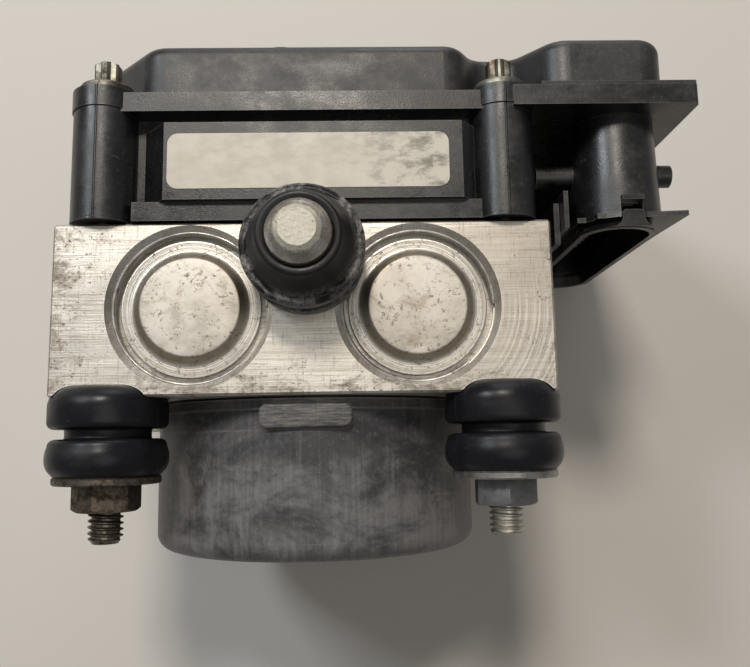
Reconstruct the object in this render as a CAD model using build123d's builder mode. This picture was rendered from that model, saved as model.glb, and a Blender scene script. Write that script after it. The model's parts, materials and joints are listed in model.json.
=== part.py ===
from build123d import *
import math
import os

# Anti-lock brake module: valve block, pump motor and control unit.
# Millimetres. The origin is the centre of the block's pipe-port face, on which the module rests.
# +X runs along the block towards the connector, +Y towards the control unit, +Z up through the block.

# ---- valve block ----
block_width = 84.0
block_thickness = 29.2
block_height = 70.0
block_edge = 0.4
motor_side = -block_thickness / 2
unit_side = block_thickness / 2
block_side = block_width / 2
fit_gap = 0.03
slide_gap = 0.06

# ---- low-pressure accumulators, bored from the top face ----
accumulator_x = 19.1
accumulator_y = 0.2
accumulator_bore_r = 10.5
accumulator_depth = 22.0
cover_seat_r = accumulator_bore_r + 2.4
cover_seat_depth = 3.0
cover_lead_in = 1.1
cover_brim_r = cover_seat_r - 1.05
cover_brim = 1.1
cover_hat_r = cover_brim_r - 3.55
cover_hat_foot_r = cover_hat_r + 1.4
cover_hat_rise = 1.5
cover_wall = 1.2
snap_ring_wire_r = 0.45
snap_ring_mouth = 50.0
accumulator_piston_length = 7.8
accumulator_piston_floor = 3.6
accumulator_piston_wall = 2.0
accumulator_spring_r = accumulator_bore_r - 3.3
accumulator_wire_r = 0.7
accumulator_spring_turns = 4
seal_wire_r = 0.62

# ---- radial pump, bored from the side faces to the shaft ----
shaft_z = 35.0
pump_y = -5.5
eccentricity = 0.6
shaft_r = 4.0
nose_r = shaft_r - 1.0
journal_r = shaft_r + eccentricity + 0.3
ring_r = journal_r + 2.6
ring_width = 6.4
eccentric_bore_r = ring_r + eccentricity + 1.4
pump_bore_r = 6.0
pump_piston_r = 3.2
pump_piston_length = 11.3
pump_tip_clearance = 0.1
pump_sleeve_length = 15.5
pump_sleeve_end = 1.5
pump_wire_r = 0.35
pump_spring_turns = 4
plug_r = pump_bore_r + 1.5
plug_length = 9.2
plug_stub_r = 4.6
plug_recess = 0.8

# ---- solenoid valves, bored from the control unit side ----
valve_columns = (-26.4, -9.6, 9.6, 26.4)
inlet_row_z = 17.0
outlet_row_z = 37.0
valve_r = 4.5
valve_depth = 8.0
valve_nose_r = 3.0
valve_nose_depth = 12.8
dome_r = 3.3
dome_height = 14.4
armature_r = 2.6
armature_length = 14.0
armature_pin_r = 0.8
coil_r = 7.5
coil_height = 15.0
coil_lift = 1.0
gallery_r = 1.2

# ---- pipe ports ----
wheel_port_r = 4.46
wheel_port_depth = 9.5
wheel_port_y = 2.0
inlet_port_r = 5.46
inlet_port_depth = 9.0
inlet_port_x = block_side - 7.0
inlet_port_z = 9.0
pipe_face_r = 7.3
pipe_face_depth = 0.4

# ---- motor ----
can_r = 31.5
can_end = motor_side - 27.7
can_wall = 1.6
can_edge = 3.0
can_flange_r = can_r + 0.8
can_flange = 1.8
gasket_thickness = 0.4
ear_x = block_side - 4.5
ear_rise = 12.0
ear_r = 4.4
motor_screw_r = 2.5
motor_screw_head_r = 4.2
motor_screw_head = 2.8
motor_screw_depth = 9.0
lug_length = 15.8
lug_width = 4.3
lug_rise = 1.0
lug_y = motor_side - 3.3
rear_boss = 2.4
bushing_r = shaft_r + 2.5
rear_boss_r = bushing_r + 2.0
front_bushing_r = eccentric_bore_r + 1.5
front_bushing_seat = 2.6
front_bushing_length = 4.6
nose_bushing_r = nose_r + 2.0
nose_bushing_length = 5.0
magnet_fit = 0.05
magnet_thickness = 5.65
core_length = 10.5
core_slots = 12
air_gap = 0.6
core_r = can_r - can_wall - magnet_fit - magnet_thickness - air_gap
magnet_arc = 72.0
commutator_r = shaft_r + 5.0
commutator_length = 6.0
brush_width = 5.0
brush_breadth = 6.0
brush_length = 8.4
brush_box_wall = 0.6
brush_plate_thickness = 1.6
terminal_z = 52.0
terminal_r = 4.3

# ---- isolators on the motor side ----
isolator_x = block_side - 8.4
isolator_z = block_height - 6.0
isolator_r = 9.85
isolator_neck_r = 7.05
isolator_waist_r = 9.65
isolator_bulge_r = 10.05
isolator_foot_r = 9.0
isolator_seat = 2.1
isolator_lobe_one = 7.2
isolator_neck = 1.6
isolator_lobe_two = 6.2
isolator_seat_round = 3.4
isolator_rim_round = 1.2
isolator_seat_gap = 0.15
washer_r = 8.85
washer_thickness = 1.3
nut_across = 9.8
nut_height = 4.5
nut_turns = {-1: 6.0, 1: 3.5}
stud_r = 2.9
stud_end = motor_side - 23.9
stud_depth = 10.5

# ---- support pin on the accumulator face ----
pin_x = 0.4
pin_top = block_height + 19.0
pin_r = 5.15
pin_tip_r = pin_r - 2.35
pin_shoulder_z = block_height + 16.3
pin_thread_r = 3.0
pin_thread_depth = 11.5
grommet_foot = 3.2
grommet_groove = 3.0
grommet_rim = 3.2
grommet_lip_rise = 6.3
grommet_neck_r = pin_r + 1.85
grommet_foot_r = grommet_neck_r + 2.85
grommet_rim_r = grommet_neck_r + 2.95
grommet_step_r = grommet_neck_r + 1.4
grommet_lip_r = pin_r + 0.95

# ---- control unit ----
unit_gap = 0.3
frame_x = block_side - 4.0
frame_low = 2.0
frame_high = block_height - 3.5
unit_wall = 3.8
tray_top = unit_side + 22.9
strip_foot = unit_side + 19.5
plate_foot = unit_side + 19.3
strip_front = block_height + 1.0
plate_front = block_height + 3.0
tray_low = 1.0
tray_left = -block_side + 4.5
plate_left = block_side - 6.0
plate_right = block_side + 26.0
plate_corner_r = 1.0
tray_floor = unit_side + 18.4
base_front = block_height + 0.3
base_left = -29.0
base_right = 30.5
panel_front = block_height + 1.5
panel_foot = unit_side + 3.6
panel_top = unit_side + 17.2
panel_left = -23.5
panel_right = 27.2
panel_slope = 4.4
screw_x = block_side - 7.3
screw_high = block_height - 3.1
screw_low = 6.4
screw_shank_r = 2.0
screw_hole_r = 2.3
screw_depth = 10.0
screw_head_r = 2.35
screw_head = 4.6
screw_flange_r = 3.8
screw_flange = 1.5
tower_r = 5.5
tower_top = unit_side + 23.7
tower_collar = 3.6
tower_collar_r = 5.75
foot_left = block_side - 5.3
foot_ridge = block_side - 3.8
foot_right = block_side - 1.4
foot_low = unit_side + 1.1
foot_top = unit_side + 5.4
foot_back = block_height - 6.0
foot_step = 2.0
foot_front = block_height + 0.8

# ---- control unit cover ----
cover_top = unit_side + 33.9
cover_left = -block_side + 5.0
cover_right = block_side + 22.6
cover_left_corner_z = block_height - 12.5
cover_front_left = block_height - 2.6
cover_front_left_x = -block_side + 15.0
cover_front_left_end_x = block_side - 14.5
cover_front_right = block_height - 0.8
cover_front_right_x = block_side + 2.5
cover_notch_z = block_height - 8.3
cover_notch_half = 3.2
cover_skin = 2.0
cover_round = 2.4
cover_flange = 0.7
cover_flange_rim = 1.2
cover_flange_left = block_side - 1.0
cover_flange_inset = 0.3
vent_x = -4.5
vent_z = block_height - 9.8
vent_r = 4.5
vent_rise = 0.9
vent_skirt = 0.35
board_thickness = 1.6

# ---- connector ----
shroud_x = block_side + 14.1
shroud_r = 7.8
shroud_draft = 1.6
shroud_near = block_height - 8.0
shroud_far = 26.5
shroud_floor = unit_side + 16.4
socket_x = block_side + 13.9
socket_r = 5.9
mouth_x = block_side + 13.4
mouth_r = 6.7
mouth_wall = 1.05
neck_x = block_side + 13.7
neck_r = 6.5
neck_near = block_height - 8.4
neck_far = 25.6
mouth_near = block_height - 6.7
mouth_far = 24.3
mouth_end = unit_side - 1.6
flange_foot = unit_side + 0.4
flange_top = unit_side + 1.3
flange_rim = 0.9
flange_near = block_height - 9.8
flange_ledges = ((47.9, 65.8), (50.2, 66.0), (50.6, 68.5), (54.4, 69.0), (58.3, 69.2))
flange_tip = (65.9, 70.0)
flange_side = (65.3, 59.0)
latch_left = block_side + 12.4
latch_right = block_side + 16.2
latch_flare = 1.6
latch_front = block_height + 0.3
latch_top = unit_side + 1.5
latch_depth = 1.4
window_top = unit_side + 3.2
window_bar = 0.9
window_bar_front = block_height + 0.5
rib_one_thickness = 1.0
rib_two_thickness = 0.8
rib_one_x = block_side + 2.5
rib_one_front = block_height - 7.0
rib_one_low = unit_side - 2.6
rib_one_top = unit_side + 4.9
rib_two_x = block_side + 3.6
rib_two_front = block_height - 4.0
rib_two_low = unit_side - 0.4
rib_two_top = unit_side + 6.3
rib_web_front = block_height - 9.0
rib_back = block_height - 20.0
peg_y = unit_side + 10.6
peg_z = block_height - 9.5
peg_r = 2.05
peg_right = block_side + 24.8
peg_left = block_side - 0.2
pin_tip_y = unit_side + 5.4
small_pin = 0.64
blade_width = 2.8
blade_thickness = 0.8

# ---- label ----
label_length = 47.7
label_width = 9.7
label_x = 1.0
label_y = 24.9
label_thickness = 0.12

pin_y = panel_foot - grommet_foot_r - 0.05

sides = (("left", -1), ("right", 1))
shaft_start = (0, 0, shaft_z)
to_unit = (0, 1, 0)
to_motor = (0, -1, 0)
up = (0, 0, 1)


def towards_motor(y):
    """Sketch plane across the module at depth y: sketch x is X, sketch y is Z, and it faces -Y."""
    return Plane(origin=(0, y, 0), x_dir=(1, 0, 0), z_dir=to_motor)


def drilled(x, y, z, outwards):
    """Start of a hole at x, y, z whose mouth faces outwards."""
    return Locations(Plane(origin=(x, y, z), z_dir=outwards))


def clipped_corners(right, low, high, clip):
    """Corner points of a rectangle -right..right by low..high with its corners clipped off."""
    return [
        (-right, low + clip),
        (-right + clip, low),
        (right - clip, low),
        (right, low + clip),
        (right, high - clip),
        (right - clip, high),
        (-right + clip, high),
        (-right, high - clip),
    ]


def upright_box(x_low, x_high, y_low, y_high, z_low, z_high):
    """Box between two limits on each axis."""
    with BuildSketch(towards_motor(y_high)) as face:
        with Locations(((x_low + x_high) / 2, (z_low + z_high) / 2)):
            Rectangle(x_high - x_low, z_high - z_low)
    return extrude(face.sketch, amount=y_high - y_low)


def half_section(points, origin, direction):
    """Half section of a turned piece: each point is (distance along the axis, radius)."""
    normal = (0, 1, 0) if direction[2] else (0, 0, 1)
    with BuildSketch(Plane(origin=origin, x_dir=direction, z_dir=normal)) as half:
        with BuildLine():
            Polyline(*points, close=True)
        make_face()
    return half.sketch


def sleeve(start, length, outer_r, inner_r):
    """Half section of a plain sleeve."""
    return [(start, inner_r), (start, outer_r), (start + length, outer_r), (start + length, inner_r)]


def coil_spring(mean_r, wire_r, turns, start, length, direction):
    """Helical spring whose wire ends stand clear of both seats by the wire's radius."""
    rise = length - 2 * wire_r
    first = tuple(s + d * wire_r for s, d in zip(start, direction))
    with BuildPart() as spring:
        with BuildLine() as path:
            Helix(rise / turns, rise, mean_r, center=first, direction=direction)
        with BuildSketch(Plane(origin=path.line @ 0, z_dir=path.line % 0)):
            Circle(wire_r)
        sweep(is_frenet=True)
    return spring


def save(piece, node):
    """Write one node."""
    piece.part.label = node
    export_step(piece.part, f"parts/{node}.step")


os.makedirs("parts", exist_ok=True)

# ---------------------------------------------------------------- valve block
accumulator_floor = block_height - accumulator_depth
cover_ledge = block_height - cover_seat_depth
snap_ring_z = cover_ledge + cover_brim + snap_ring_wire_r + fit_gap
snap_ring_r = cover_seat_r
inlet_gallery_x = inlet_port_x - inlet_port_r + 1.6
outlet_gallery_x = (-26.4, -10.4, 10.4, 26.4)
seat_y = motor_side + isolator_seat
screw_places = [(x, z) for x in (-screw_x, screw_x) for z in (screw_low, screw_high)]
ear_places = [(x, shaft_z + r) for x in (-ear_x, ear_x) for r in (-ear_rise, ear_rise)]

with BuildPart() as valve_block:
    with BuildSketch(Plane.XY):
        Rectangle(block_width, block_thickness)
    extrude(amount=block_height)
    chamfer(valve_block.edges(), length=block_edge)
    # accumulators with their cover seats and ring grooves
    for x in (-accumulator_x, accumulator_x):
        with drilled(x, accumulator_y, block_height, up):
            CounterBoreHole(accumulator_bore_r, cover_seat_r, cover_seat_depth, accumulator_depth)
        with BuildSketch(Plane.XY.offset(block_height)):
            with Locations((x, accumulator_y)):
                Circle(cover_seat_r + cover_lead_in)
        extrude(amount=-cover_lead_in, taper=45, mode=Mode.SUBTRACT)
        with BuildSketch(Plane.XZ.offset(-accumulator_y)):
            with Locations((x + snap_ring_r, snap_ring_z)):
                Circle(snap_ring_wire_r + fit_gap)
        revolve(axis=Axis((x, accumulator_y, 0), up), mode=Mode.SUBTRACT)
    # wheel ports, each drilled on to its inlet and outlet valve
    for x in valve_columns:
        with drilled(x, wheel_port_y, 0, (0, 0, -1)):
            CounterBoreHole(wheel_port_r, pipe_face_r, pipe_face_depth, wheel_port_depth)
            Hole(gallery_r, outlet_row_z)
    # valve bores
    for z in (inlet_row_z, outlet_row_z):
        for x in valve_columns:
            with drilled(x, unit_side, z, to_unit):
                CounterBoreHole(valve_nose_r, valve_r, valve_depth, valve_nose_depth)
    # returns from the outlet valves to the accumulators, and on to the pump
    outlet_nose_y = unit_side - valve_depth - 3.4
    for x in outlet_gallery_x:
        with drilled(x, outlet_nose_y, accumulator_floor, up):
            Hole(1.0, accumulator_floor - outlet_row_z)
    for x in (-accumulator_x, accumulator_x):
        with drilled(x, pump_y, accumulator_floor, up):
            Hole(gallery_r, accumulator_floor - shaft_z)
    # pump bores and their end plugs
    for name, side in sides:
        with drilled(side * block_width / 2, pump_y, shaft_z, (side, 0, 0)):
            CounterBoreHole(
                pump_bore_r, plug_r, plug_length + plug_recess, block_width / 2 - shaft_r
            )
        # supply ports and their drillings to the pump outlets
        with drilled(side * inlet_port_x, motor_side, inlet_port_z, to_motor):
            CounterBoreHole(inlet_port_r, pipe_face_r, pipe_face_depth, inlet_port_depth)
        with drilled(side * inlet_gallery_x, motor_side + inlet_port_depth - 2.4, shaft_z, up):
            Hole(gallery_r, shaft_z - inlet_port_z)
    # shaft bore: front bushing, eccentric, nose bushing
    nose_bore_y = pump_y + ring_width / 2 + 1.1
    with drilled(0, motor_side, shaft_z, to_motor):
        CounterBoreHole(
            eccentric_bore_r, front_bushing_r, front_bushing_seat, nose_bore_y - motor_side
        )
        Hole(nose_bushing_r, nose_bore_y - motor_side + nose_bushing_length)
    with drilled(0, motor_side, terminal_z, to_motor):
        Hole(terminal_r + 0.2)
    # screw holes for the motor and the control unit
    for x, z in ear_places:
        with drilled(x, motor_side, z, to_motor):
            Hole(motor_screw_r + fit_gap, motor_screw_depth)
    for x, z in screw_places:
        with drilled(x, unit_side, z, to_unit):
            Hole(screw_shank_r + fit_gap, screw_depth)
    # rounded seats of the isolators, which break out of the top face, and their stud holes
    for x in (-isolator_x, isolator_x):
        seat_start = (x, seat_y, isolator_z)
        with BuildSketch(Plane(origin=seat_start, x_dir=to_motor, z_dir=up)):
            with BuildLine():
                seat_arc = CenterArc(
                    (isolator_seat_round, isolator_r - isolator_seat_round + isolator_seat_gap),
                    isolator_seat_round,
                    180,
                    -90,
                )
                Polyline(seat_arc @ 0, (0, 0), (isolator_seat_round, 0), seat_arc @ 1)
            make_face()
        revolve(axis=Axis(seat_start, to_motor), mode=Mode.SUBTRACT)
        with drilled(x, motor_side, isolator_z, to_motor):
            Hole(stud_r + fit_gap, isolator_seat + stud_depth)
    # support pin
    with drilled(pin_x, pin_y, block_height, up):
        Hole(pin_thread_r + fit_gap, pin_thread_depth)
save(valve_block, "valve_block")

# ---------------------------------------------------------------- accumulators
piston_low = accumulator_floor + 0.2
piston_high = piston_low + accumulator_piston_length
piston_cup = piston_low + accumulator_piston_floor
piston_skirt_r = accumulator_bore_r - slide_gap
seal_groove_r = accumulator_bore_r - 2 * seal_wire_r - 0.06
seal_z = piston_low + accumulator_piston_length / 2
brim_z = cover_ledge + cover_brim
hat_z = brim_z + cover_hat_rise
hat_bore_r = cover_hat_r - cover_wall
brim_edge = 0.3

cover_section = [
    (cover_ledge, hat_bore_r),
    (cover_ledge, cover_brim_r),
    (brim_z - brim_edge, cover_brim_r),
    (brim_z, cover_brim_r - brim_edge),
    (brim_z, cover_hat_foot_r),
    (hat_z - brim_edge, cover_hat_r + brim_edge / 2),
    (hat_z, cover_hat_r - brim_edge),
    (hat_z, 0),
    (hat_z - cover_wall, 0),
    (hat_z - cover_wall, hat_bore_r),
]
piston_section = [
    (piston_low, 0),
    (piston_low, piston_skirt_r),
    (seal_z - seal_wire_r, piston_skirt_r),
    (seal_z - seal_wire_r, seal_groove_r),
    (seal_z + seal_wire_r, seal_groove_r),
    (seal_z + seal_wire_r, piston_skirt_r),
    (piston_high, piston_skirt_r),
    (piston_high, piston_skirt_r - accumulator_piston_wall * 0.8),
    (piston_cup, piston_skirt_r - accumulator_piston_wall),
    (piston_cup, 0),
]

for name, side in sides:
    accumulator_start = (side * accumulator_x, accumulator_y, 0)
    accumulator_axis = Axis(accumulator_start, up)

    with BuildPart() as accumulator_cover:
        revolve(half_section(cover_section, accumulator_start, up), axis=accumulator_axis)
    save(accumulator_cover, f"accumulator_cover_{name}")

    with BuildPart() as accumulator_piston:
        revolve(half_section(piston_section, accumulator_start, up), axis=accumulator_axis)
    save(accumulator_piston, f"accumulator_piston_{name}")

    with BuildPart() as accumulator_seal:
        with Locations((side * accumulator_x, accumulator_y, seal_z)):
            Torus(seal_groove_r + seal_wire_r + 0.02, seal_wire_r)
    save(accumulator_seal, f"accumulator_seal_{name}")

    accumulator_spring = coil_spring(
        accumulator_spring_r - accumulator_wire_r,
        accumulator_wire_r,
        accumulator_spring_turns,
        (side * accumulator_x, accumulator_y, piston_cup),
        cover_ledge - piston_cup,
        up,
    )
    save(accumulator_spring, f"accumulator_spring_{name}")

with BuildPart() as snap_rings:
    for name, side in sides:
        with BuildSketch(Plane.XZ.offset(-accumulator_y)):
            with Locations((side * accumulator_x + snap_ring_r, snap_ring_z)):
                Circle(snap_ring_wire_r)
        revolve(
            axis=Axis((side * accumulator_x, accumulator_y, 0), up),
            revolution_arc=360 - snap_ring_mouth,
        )
save(snap_rings, "snap_rings")

# ---------------------------------------------------------------- radial pump
tip_x = ring_r + eccentricity + pump_tip_clearance
sleeve_x = eccentric_bore_r + 0.9
sleeve_far = sleeve_x + pump_sleeve_length
sleeve_floor = sleeve_far - pump_sleeve_end
piston_far = tip_x + pump_piston_length
plug_shoulder = block_width / 2 - plug_length - plug_recess
plug_face = block_width / 2 - plug_recess
pump_bore_fit_r = pump_piston_r + slide_gap
pump_edge = 0.5

pump_piston_section = [
    (tip_x, 0),
    (tip_x, pump_piston_r - pump_edge),
    (tip_x + pump_edge, pump_piston_r),
    (piston_far, pump_piston_r),
    (piston_far, 0),
]
pump_sleeve_section = [
    (sleeve_x, pump_bore_fit_r),
    (sleeve_x, pump_bore_r - pump_edge),
    (sleeve_x + pump_edge, pump_bore_r - fit_gap),
    (sleeve_far, pump_bore_r - fit_gap),
    (sleeve_far, gallery_r),
    (sleeve_floor, gallery_r),
    (sleeve_floor, pump_bore_fit_r),
]
pump_plug_section = [
    (sleeve_far, 0),
    (sleeve_far, plug_stub_r),
    (plug_shoulder, plug_stub_r),
    (plug_shoulder, plug_r - fit_gap),
    (plug_face - pump_edge, plug_r - fit_gap),
    (plug_face, plug_r - pump_edge),
    (plug_face, plug_stub_r),
    (plug_face - 1.2, plug_stub_r - pump_edge),
    (plug_face - 1.2, 0),
]

pump_start = (0, pump_y, shaft_z)
with BuildPart() as pump_sleeves:
    for name, side in sides:
        outwards = (side, 0, 0)
        revolve(half_section(pump_sleeve_section, pump_start, outwards), axis=Axis(pump_start, outwards))
        with drilled(side * accumulator_x, pump_y, shaft_z + pump_bore_r, up):
            Hole(gallery_r, pump_bore_r)
save(pump_sleeves, "pump_sleeves")

with BuildPart() as pump_plugs:
    for name, side in sides:
        outwards = (side, 0, 0)
        revolve(half_section(pump_plug_section, pump_start, outwards), axis=Axis(pump_start, outwards))
save(pump_plugs, "pump_plugs")

for name, side in sides:
    outwards = (side, 0, 0)
    with BuildPart() as pump_piston:
        revolve(half_section(pump_piston_section, pump_start, outwards), axis=Axis(pump_start, outwards))
    save(pump_piston, f"pump_piston_{name}")

    pump_spring = coil_spring(
        pump_piston_r - pump_wire_r - 0.3,
        pump_wire_r,
        pump_spring_turns,
        (side * piston_far, pump_y, shaft_z),
        sleeve_floor - piston_far,
        outwards,
    )
    save(pump_spring, f"pump_spring_{name}")

# ---------------------------------------------------------------- shaft, eccentric and bushings
journal_near = pump_y - ring_width / 2 - 0.3
journal_far = pump_y + ring_width / 2 + 0.3
nose_end = nose_bore_y + nose_bushing_length - 0.4
front_bushing_y = motor_side + front_bushing_seat - front_bushing_length
rear_bushing_y = can_end - rear_boss + can_wall + 0.2
rear_bushing_end = can_end + can_wall + 2.2
rear_bushing_length = rear_bushing_end - rear_bushing_y
core_y = rear_bushing_end + 1.6
core_near = core_y + core_length
shaft_axis = Axis(shaft_start, to_unit)

with BuildPart() as rotor_shaft:
    with BuildSketch(towards_motor(rear_bushing_y + 0.4)):
        with Locations((0, shaft_z)):
            Circle(shaft_r)
    extrude(amount=-(journal_near - rear_bushing_y - 0.4))
    with BuildSketch(towards_motor(journal_near)):
        with Locations((0, shaft_z + eccentricity)):
            Circle(journal_r)
    extrude(amount=-(journal_far - journal_near))
    with BuildSketch(towards_motor(journal_far)):
        with Locations((0, shaft_z)):
            Circle(nose_r)
    extrude(amount=-(nose_end - journal_far))
    shaft_rims = rotor_shaft.edges().filter_by(GeomType.CIRCLE).sort_by(Axis.Y)
    chamfer((shaft_rims[0], shaft_rims[-1]), 0.5)
save(rotor_shaft, "rotor_shaft")

with BuildPart() as eccentric_ring:
    with BuildSketch(towards_motor(pump_y + ring_width / 2)):
        with Locations((0, shaft_z + eccentricity)):
            Circle(ring_r)
            Circle(journal_r + slide_gap, mode=Mode.SUBTRACT)
    extrude(amount=ring_width)
    chamfer(eccentric_ring.edges().filter_by(GeomType.CIRCLE), 0.3)
save(eccentric_ring, "eccentric_ring")

bushings = (
    ("nose_bushing", nose_bore_y + 0.2, nose_bushing_length - 0.2, nose_bushing_r, nose_r),
    ("front_bushing", front_bushing_y, front_bushing_length, front_bushing_r, shaft_r),
    ("rear_bushing", rear_bushing_y, rear_bushing_length, bushing_r, shaft_r),
)
for node, start, length, outer_r, inner_r in bushings:
    with BuildPart() as bushing:
        walls = sleeve(start, length, outer_r - fit_gap, inner_r + slide_gap)
        revolve(half_section(walls, shaft_start, to_unit), axis=shaft_axis)
    save(bushing, node)

# ---------------------------------------------------------------- rotor core, windings, commutator
slot_floor_r = 13.0
slot_ceiling_r = core_r - 1.5
slot_depth = slot_ceiling_r - slot_floor_r
slot_width = 6.4
slot_mouth = 2.0
slot_angle = 80
coil_gap = 0.15
end_turn = 2.2
end_turn_r = slot_ceiling_r - 0.4
hub_r = commutator_r

with BuildPart() as rotor_core:
    with BuildSketch(Plane(origin=(0, core_y, shaft_z), x_dir=(1, 0, 0), z_dir=to_unit)):
        Circle(core_r)
        Circle(shaft_r, mode=Mode.SUBTRACT)
        with PolarLocations((slot_floor_r + slot_ceiling_r) / 2, core_slots):
            Trapezoid(slot_width, slot_depth, slot_angle, rotation=90, mode=Mode.SUBTRACT)
        with PolarLocations(slot_ceiling_r + 0.5, core_slots):
            Rectangle(3.0, slot_mouth, mode=Mode.SUBTRACT)
    extrude(amount=core_length)
save(rotor_core, "rotor_core")

with BuildPart() as rotor_windings:
    with BuildSketch(Plane(origin=(0, core_y, shaft_z), x_dir=(1, 0, 0), z_dir=to_unit)):
        with PolarLocations((slot_floor_r + slot_ceiling_r) / 2, core_slots):
            Trapezoid(
                slot_width - 2 * coil_gap, slot_depth - 2 * coil_gap, slot_angle, rotation=90
            )
    extrude(amount=core_length)
    for start in (core_y - end_turn, core_near):
        with BuildSketch(Plane(origin=(0, start, shaft_z), x_dir=(1, 0, 0), z_dir=to_unit)):
            Circle(end_turn_r)
            Circle(hub_r, mode=Mode.SUBTRACT)
        extrude(amount=end_turn)
    fillet(rotor_windings.edges().filter_by(GeomType.CIRCLE).group_by(Axis.Y)[0], 0.9)
    fillet(rotor_windings.edges().filter_by(GeomType.CIRCLE).group_by(Axis.Y)[-1], 0.9)
save(rotor_windings, "rotor_windings")

commutator_y = core_near + end_turn + 0.6
bar_slot = 0.5
with BuildPart() as commutator:
    with BuildSketch(Plane(origin=(0, commutator_y, shaft_z), x_dir=(1, 0, 0), z_dir=to_unit)):
        Circle(commutator_r)
        Circle(shaft_r, mode=Mode.SUBTRACT)
        with PolarLocations(commutator_r, core_slots):
            Rectangle(1.6, bar_slot, mode=Mode.SUBTRACT)
    extrude(amount=commutator_length)
save(commutator, "commutator")

# ---------------------------------------------------------------- motor can, magnets and brushes
can_face = motor_side - gasket_thickness
flange_face = can_face - can_flange
boss_bore_y = rear_bushing_y - 0.1
can_inner_r = can_r - can_wall

with BuildPart() as motor_can:
    with BuildSketch(towards_motor(can_face)):
        with Locations((0, shaft_z)):
            Circle(can_flange_r)
        with BuildLine():
            Polyline(
                (-ear_x, shaft_z - ear_rise - ear_r),
                (ear_x, shaft_z - ear_rise - ear_r),
                (ear_x + ear_r, shaft_z - ear_rise),
                (ear_x + ear_r, shaft_z + ear_rise),
                (ear_x, shaft_z + ear_rise + ear_r),
                (-ear_x, shaft_z + ear_rise + ear_r),
                (-ear_x - ear_r, shaft_z + ear_rise),
                (-ear_x - ear_r, shaft_z - ear_rise),
                close=True,
            )
        make_face()
    extrude(amount=can_flange)
    with BuildSketch(towards_motor(can_face)):
        with Locations((0, shaft_z)):
            Circle(can_r)
    extrude(amount=can_face - can_end)
    fillet(motor_can.edges().filter_by(GeomType.CIRCLE).sort_by(Axis.Y)[0], can_edge)
    with BuildSketch(towards_motor(can_end + 1.0)):
        with Locations((0, shaft_z)):
            Circle(rear_boss_r)
    extrude(amount=rear_boss + 1.0)
    fillet(motor_can.edges().filter_by(GeomType.CIRCLE).sort_by(Axis.Y)[0], 1.2)
    # rolled lug on the can's upper side
    with BuildSketch(Plane.XY.offset(shaft_z + can_r - 2.0)):
        with Locations((0, lug_y)):
            RectangleRounded(lug_length, lug_width, 1.6)
    extrude(amount=2.0 + lug_rise)
    fillet(motor_can.faces().sort_by(Axis.Z)[-1].edges(), 0.6)
    # inside: the can's bore and the rear bushing's pocket
    with BuildSketch(towards_motor(can_face)):
        with Locations((0, shaft_z)):
            Circle(can_inner_r)
    extrude(amount=can_face - can_end - can_wall, mode=Mode.SUBTRACT)
    with BuildSketch(towards_motor(can_end + can_wall + 1.0)):
        with Locations((0, shaft_z)):
            Circle(bushing_r)
    extrude(amount=can_end + can_wall + 1.0 - boss_bore_y, mode=Mode.SUBTRACT)
    for x, z in ear_places:
        with drilled(x, flange_face, z, to_motor):
            Hole(motor_screw_r + 0.3, can_flange)
save(motor_can, "motor_can")

with BuildPart() as motor_gasket:
    with BuildSketch(towards_motor(motor_side)):
        with Locations((0, shaft_z)):
            Circle(can_r - 0.4)
            Circle(can_inner_r, mode=Mode.SUBTRACT)
    extrude(amount=gasket_thickness)
save(motor_gasket, "motor_gasket")

with BuildPart() as motor_magnets:
    with BuildSketch(Plane(origin=(0, core_y - 1.5, shaft_z), x_dir=(1, 0, 0), z_dir=to_unit)):
        with BuildLine():
            magnet_face = CenterArc((0, 0), core_r + air_gap, -magnet_arc / 2, magnet_arc)
            magnet_back = CenterArc((0, 0), can_inner_r - magnet_fit, -magnet_arc / 2, magnet_arc)
            Line(magnet_face @ 0, magnet_back @ 0)
            Line(magnet_face @ 1, magnet_back @ 1)
        magnet = make_face()
        add([magnet.rotate(Axis.Z, turn) for turn in (90, 180, 270)])
    extrude(amount=core_length + 3.0)
save(motor_magnets, "motor_magnets")

brush_y = commutator_y + commutator_length / 2
plate_top_y = can_face - 0.2
plate_bottom_y = plate_top_y - brush_plate_thickness
box_bottom_y = brush_y - brush_width / 2 - brush_box_wall
brush_root_x = commutator_r + 0.15
terminal_pins = (-1.8, 1.8)
terminal_pin_r = 0.7

with BuildPart() as brush_plate:
    with BuildSketch(towards_motor(plate_top_y)):
        with Locations((0, shaft_z)):
            Circle(can_inner_r - fit_gap)
            Circle(front_bushing_r + 0.6, mode=Mode.SUBTRACT)
        with Locations((terminal_pins[0], terminal_z), (terminal_pins[1], terminal_z)):
            Circle(terminal_pin_r + fit_gap, mode=Mode.SUBTRACT)
    extrude(amount=brush_plate_thickness)
    with BuildSketch(towards_motor(plate_bottom_y)):
        for name, side in sides:
            with Locations((side * (brush_root_x + brush_length / 2 + 1.0), shaft_z)):
                Rectangle(brush_length, brush_breadth + 2 * brush_box_wall)
    extrude(amount=plate_bottom_y - box_bottom_y)
    with BuildSketch(Plane.YZ):
        with Locations((brush_y, shaft_z)):
            Rectangle(brush_width + 2 * fit_gap, brush_breadth + 2 * fit_gap)
    extrude(amount=brush_root_x + brush_length + 0.5, both=True, mode=Mode.SUBTRACT)
save(brush_plate, "brush_plate")

with BuildPart() as carbon_brushes:
    for name, side in sides:
        with Locations((side * (brush_root_x + brush_length / 2), brush_y, shaft_z)):
            Box(brush_length, brush_width, brush_breadth)
save(carbon_brushes, "carbon_brushes")

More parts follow.
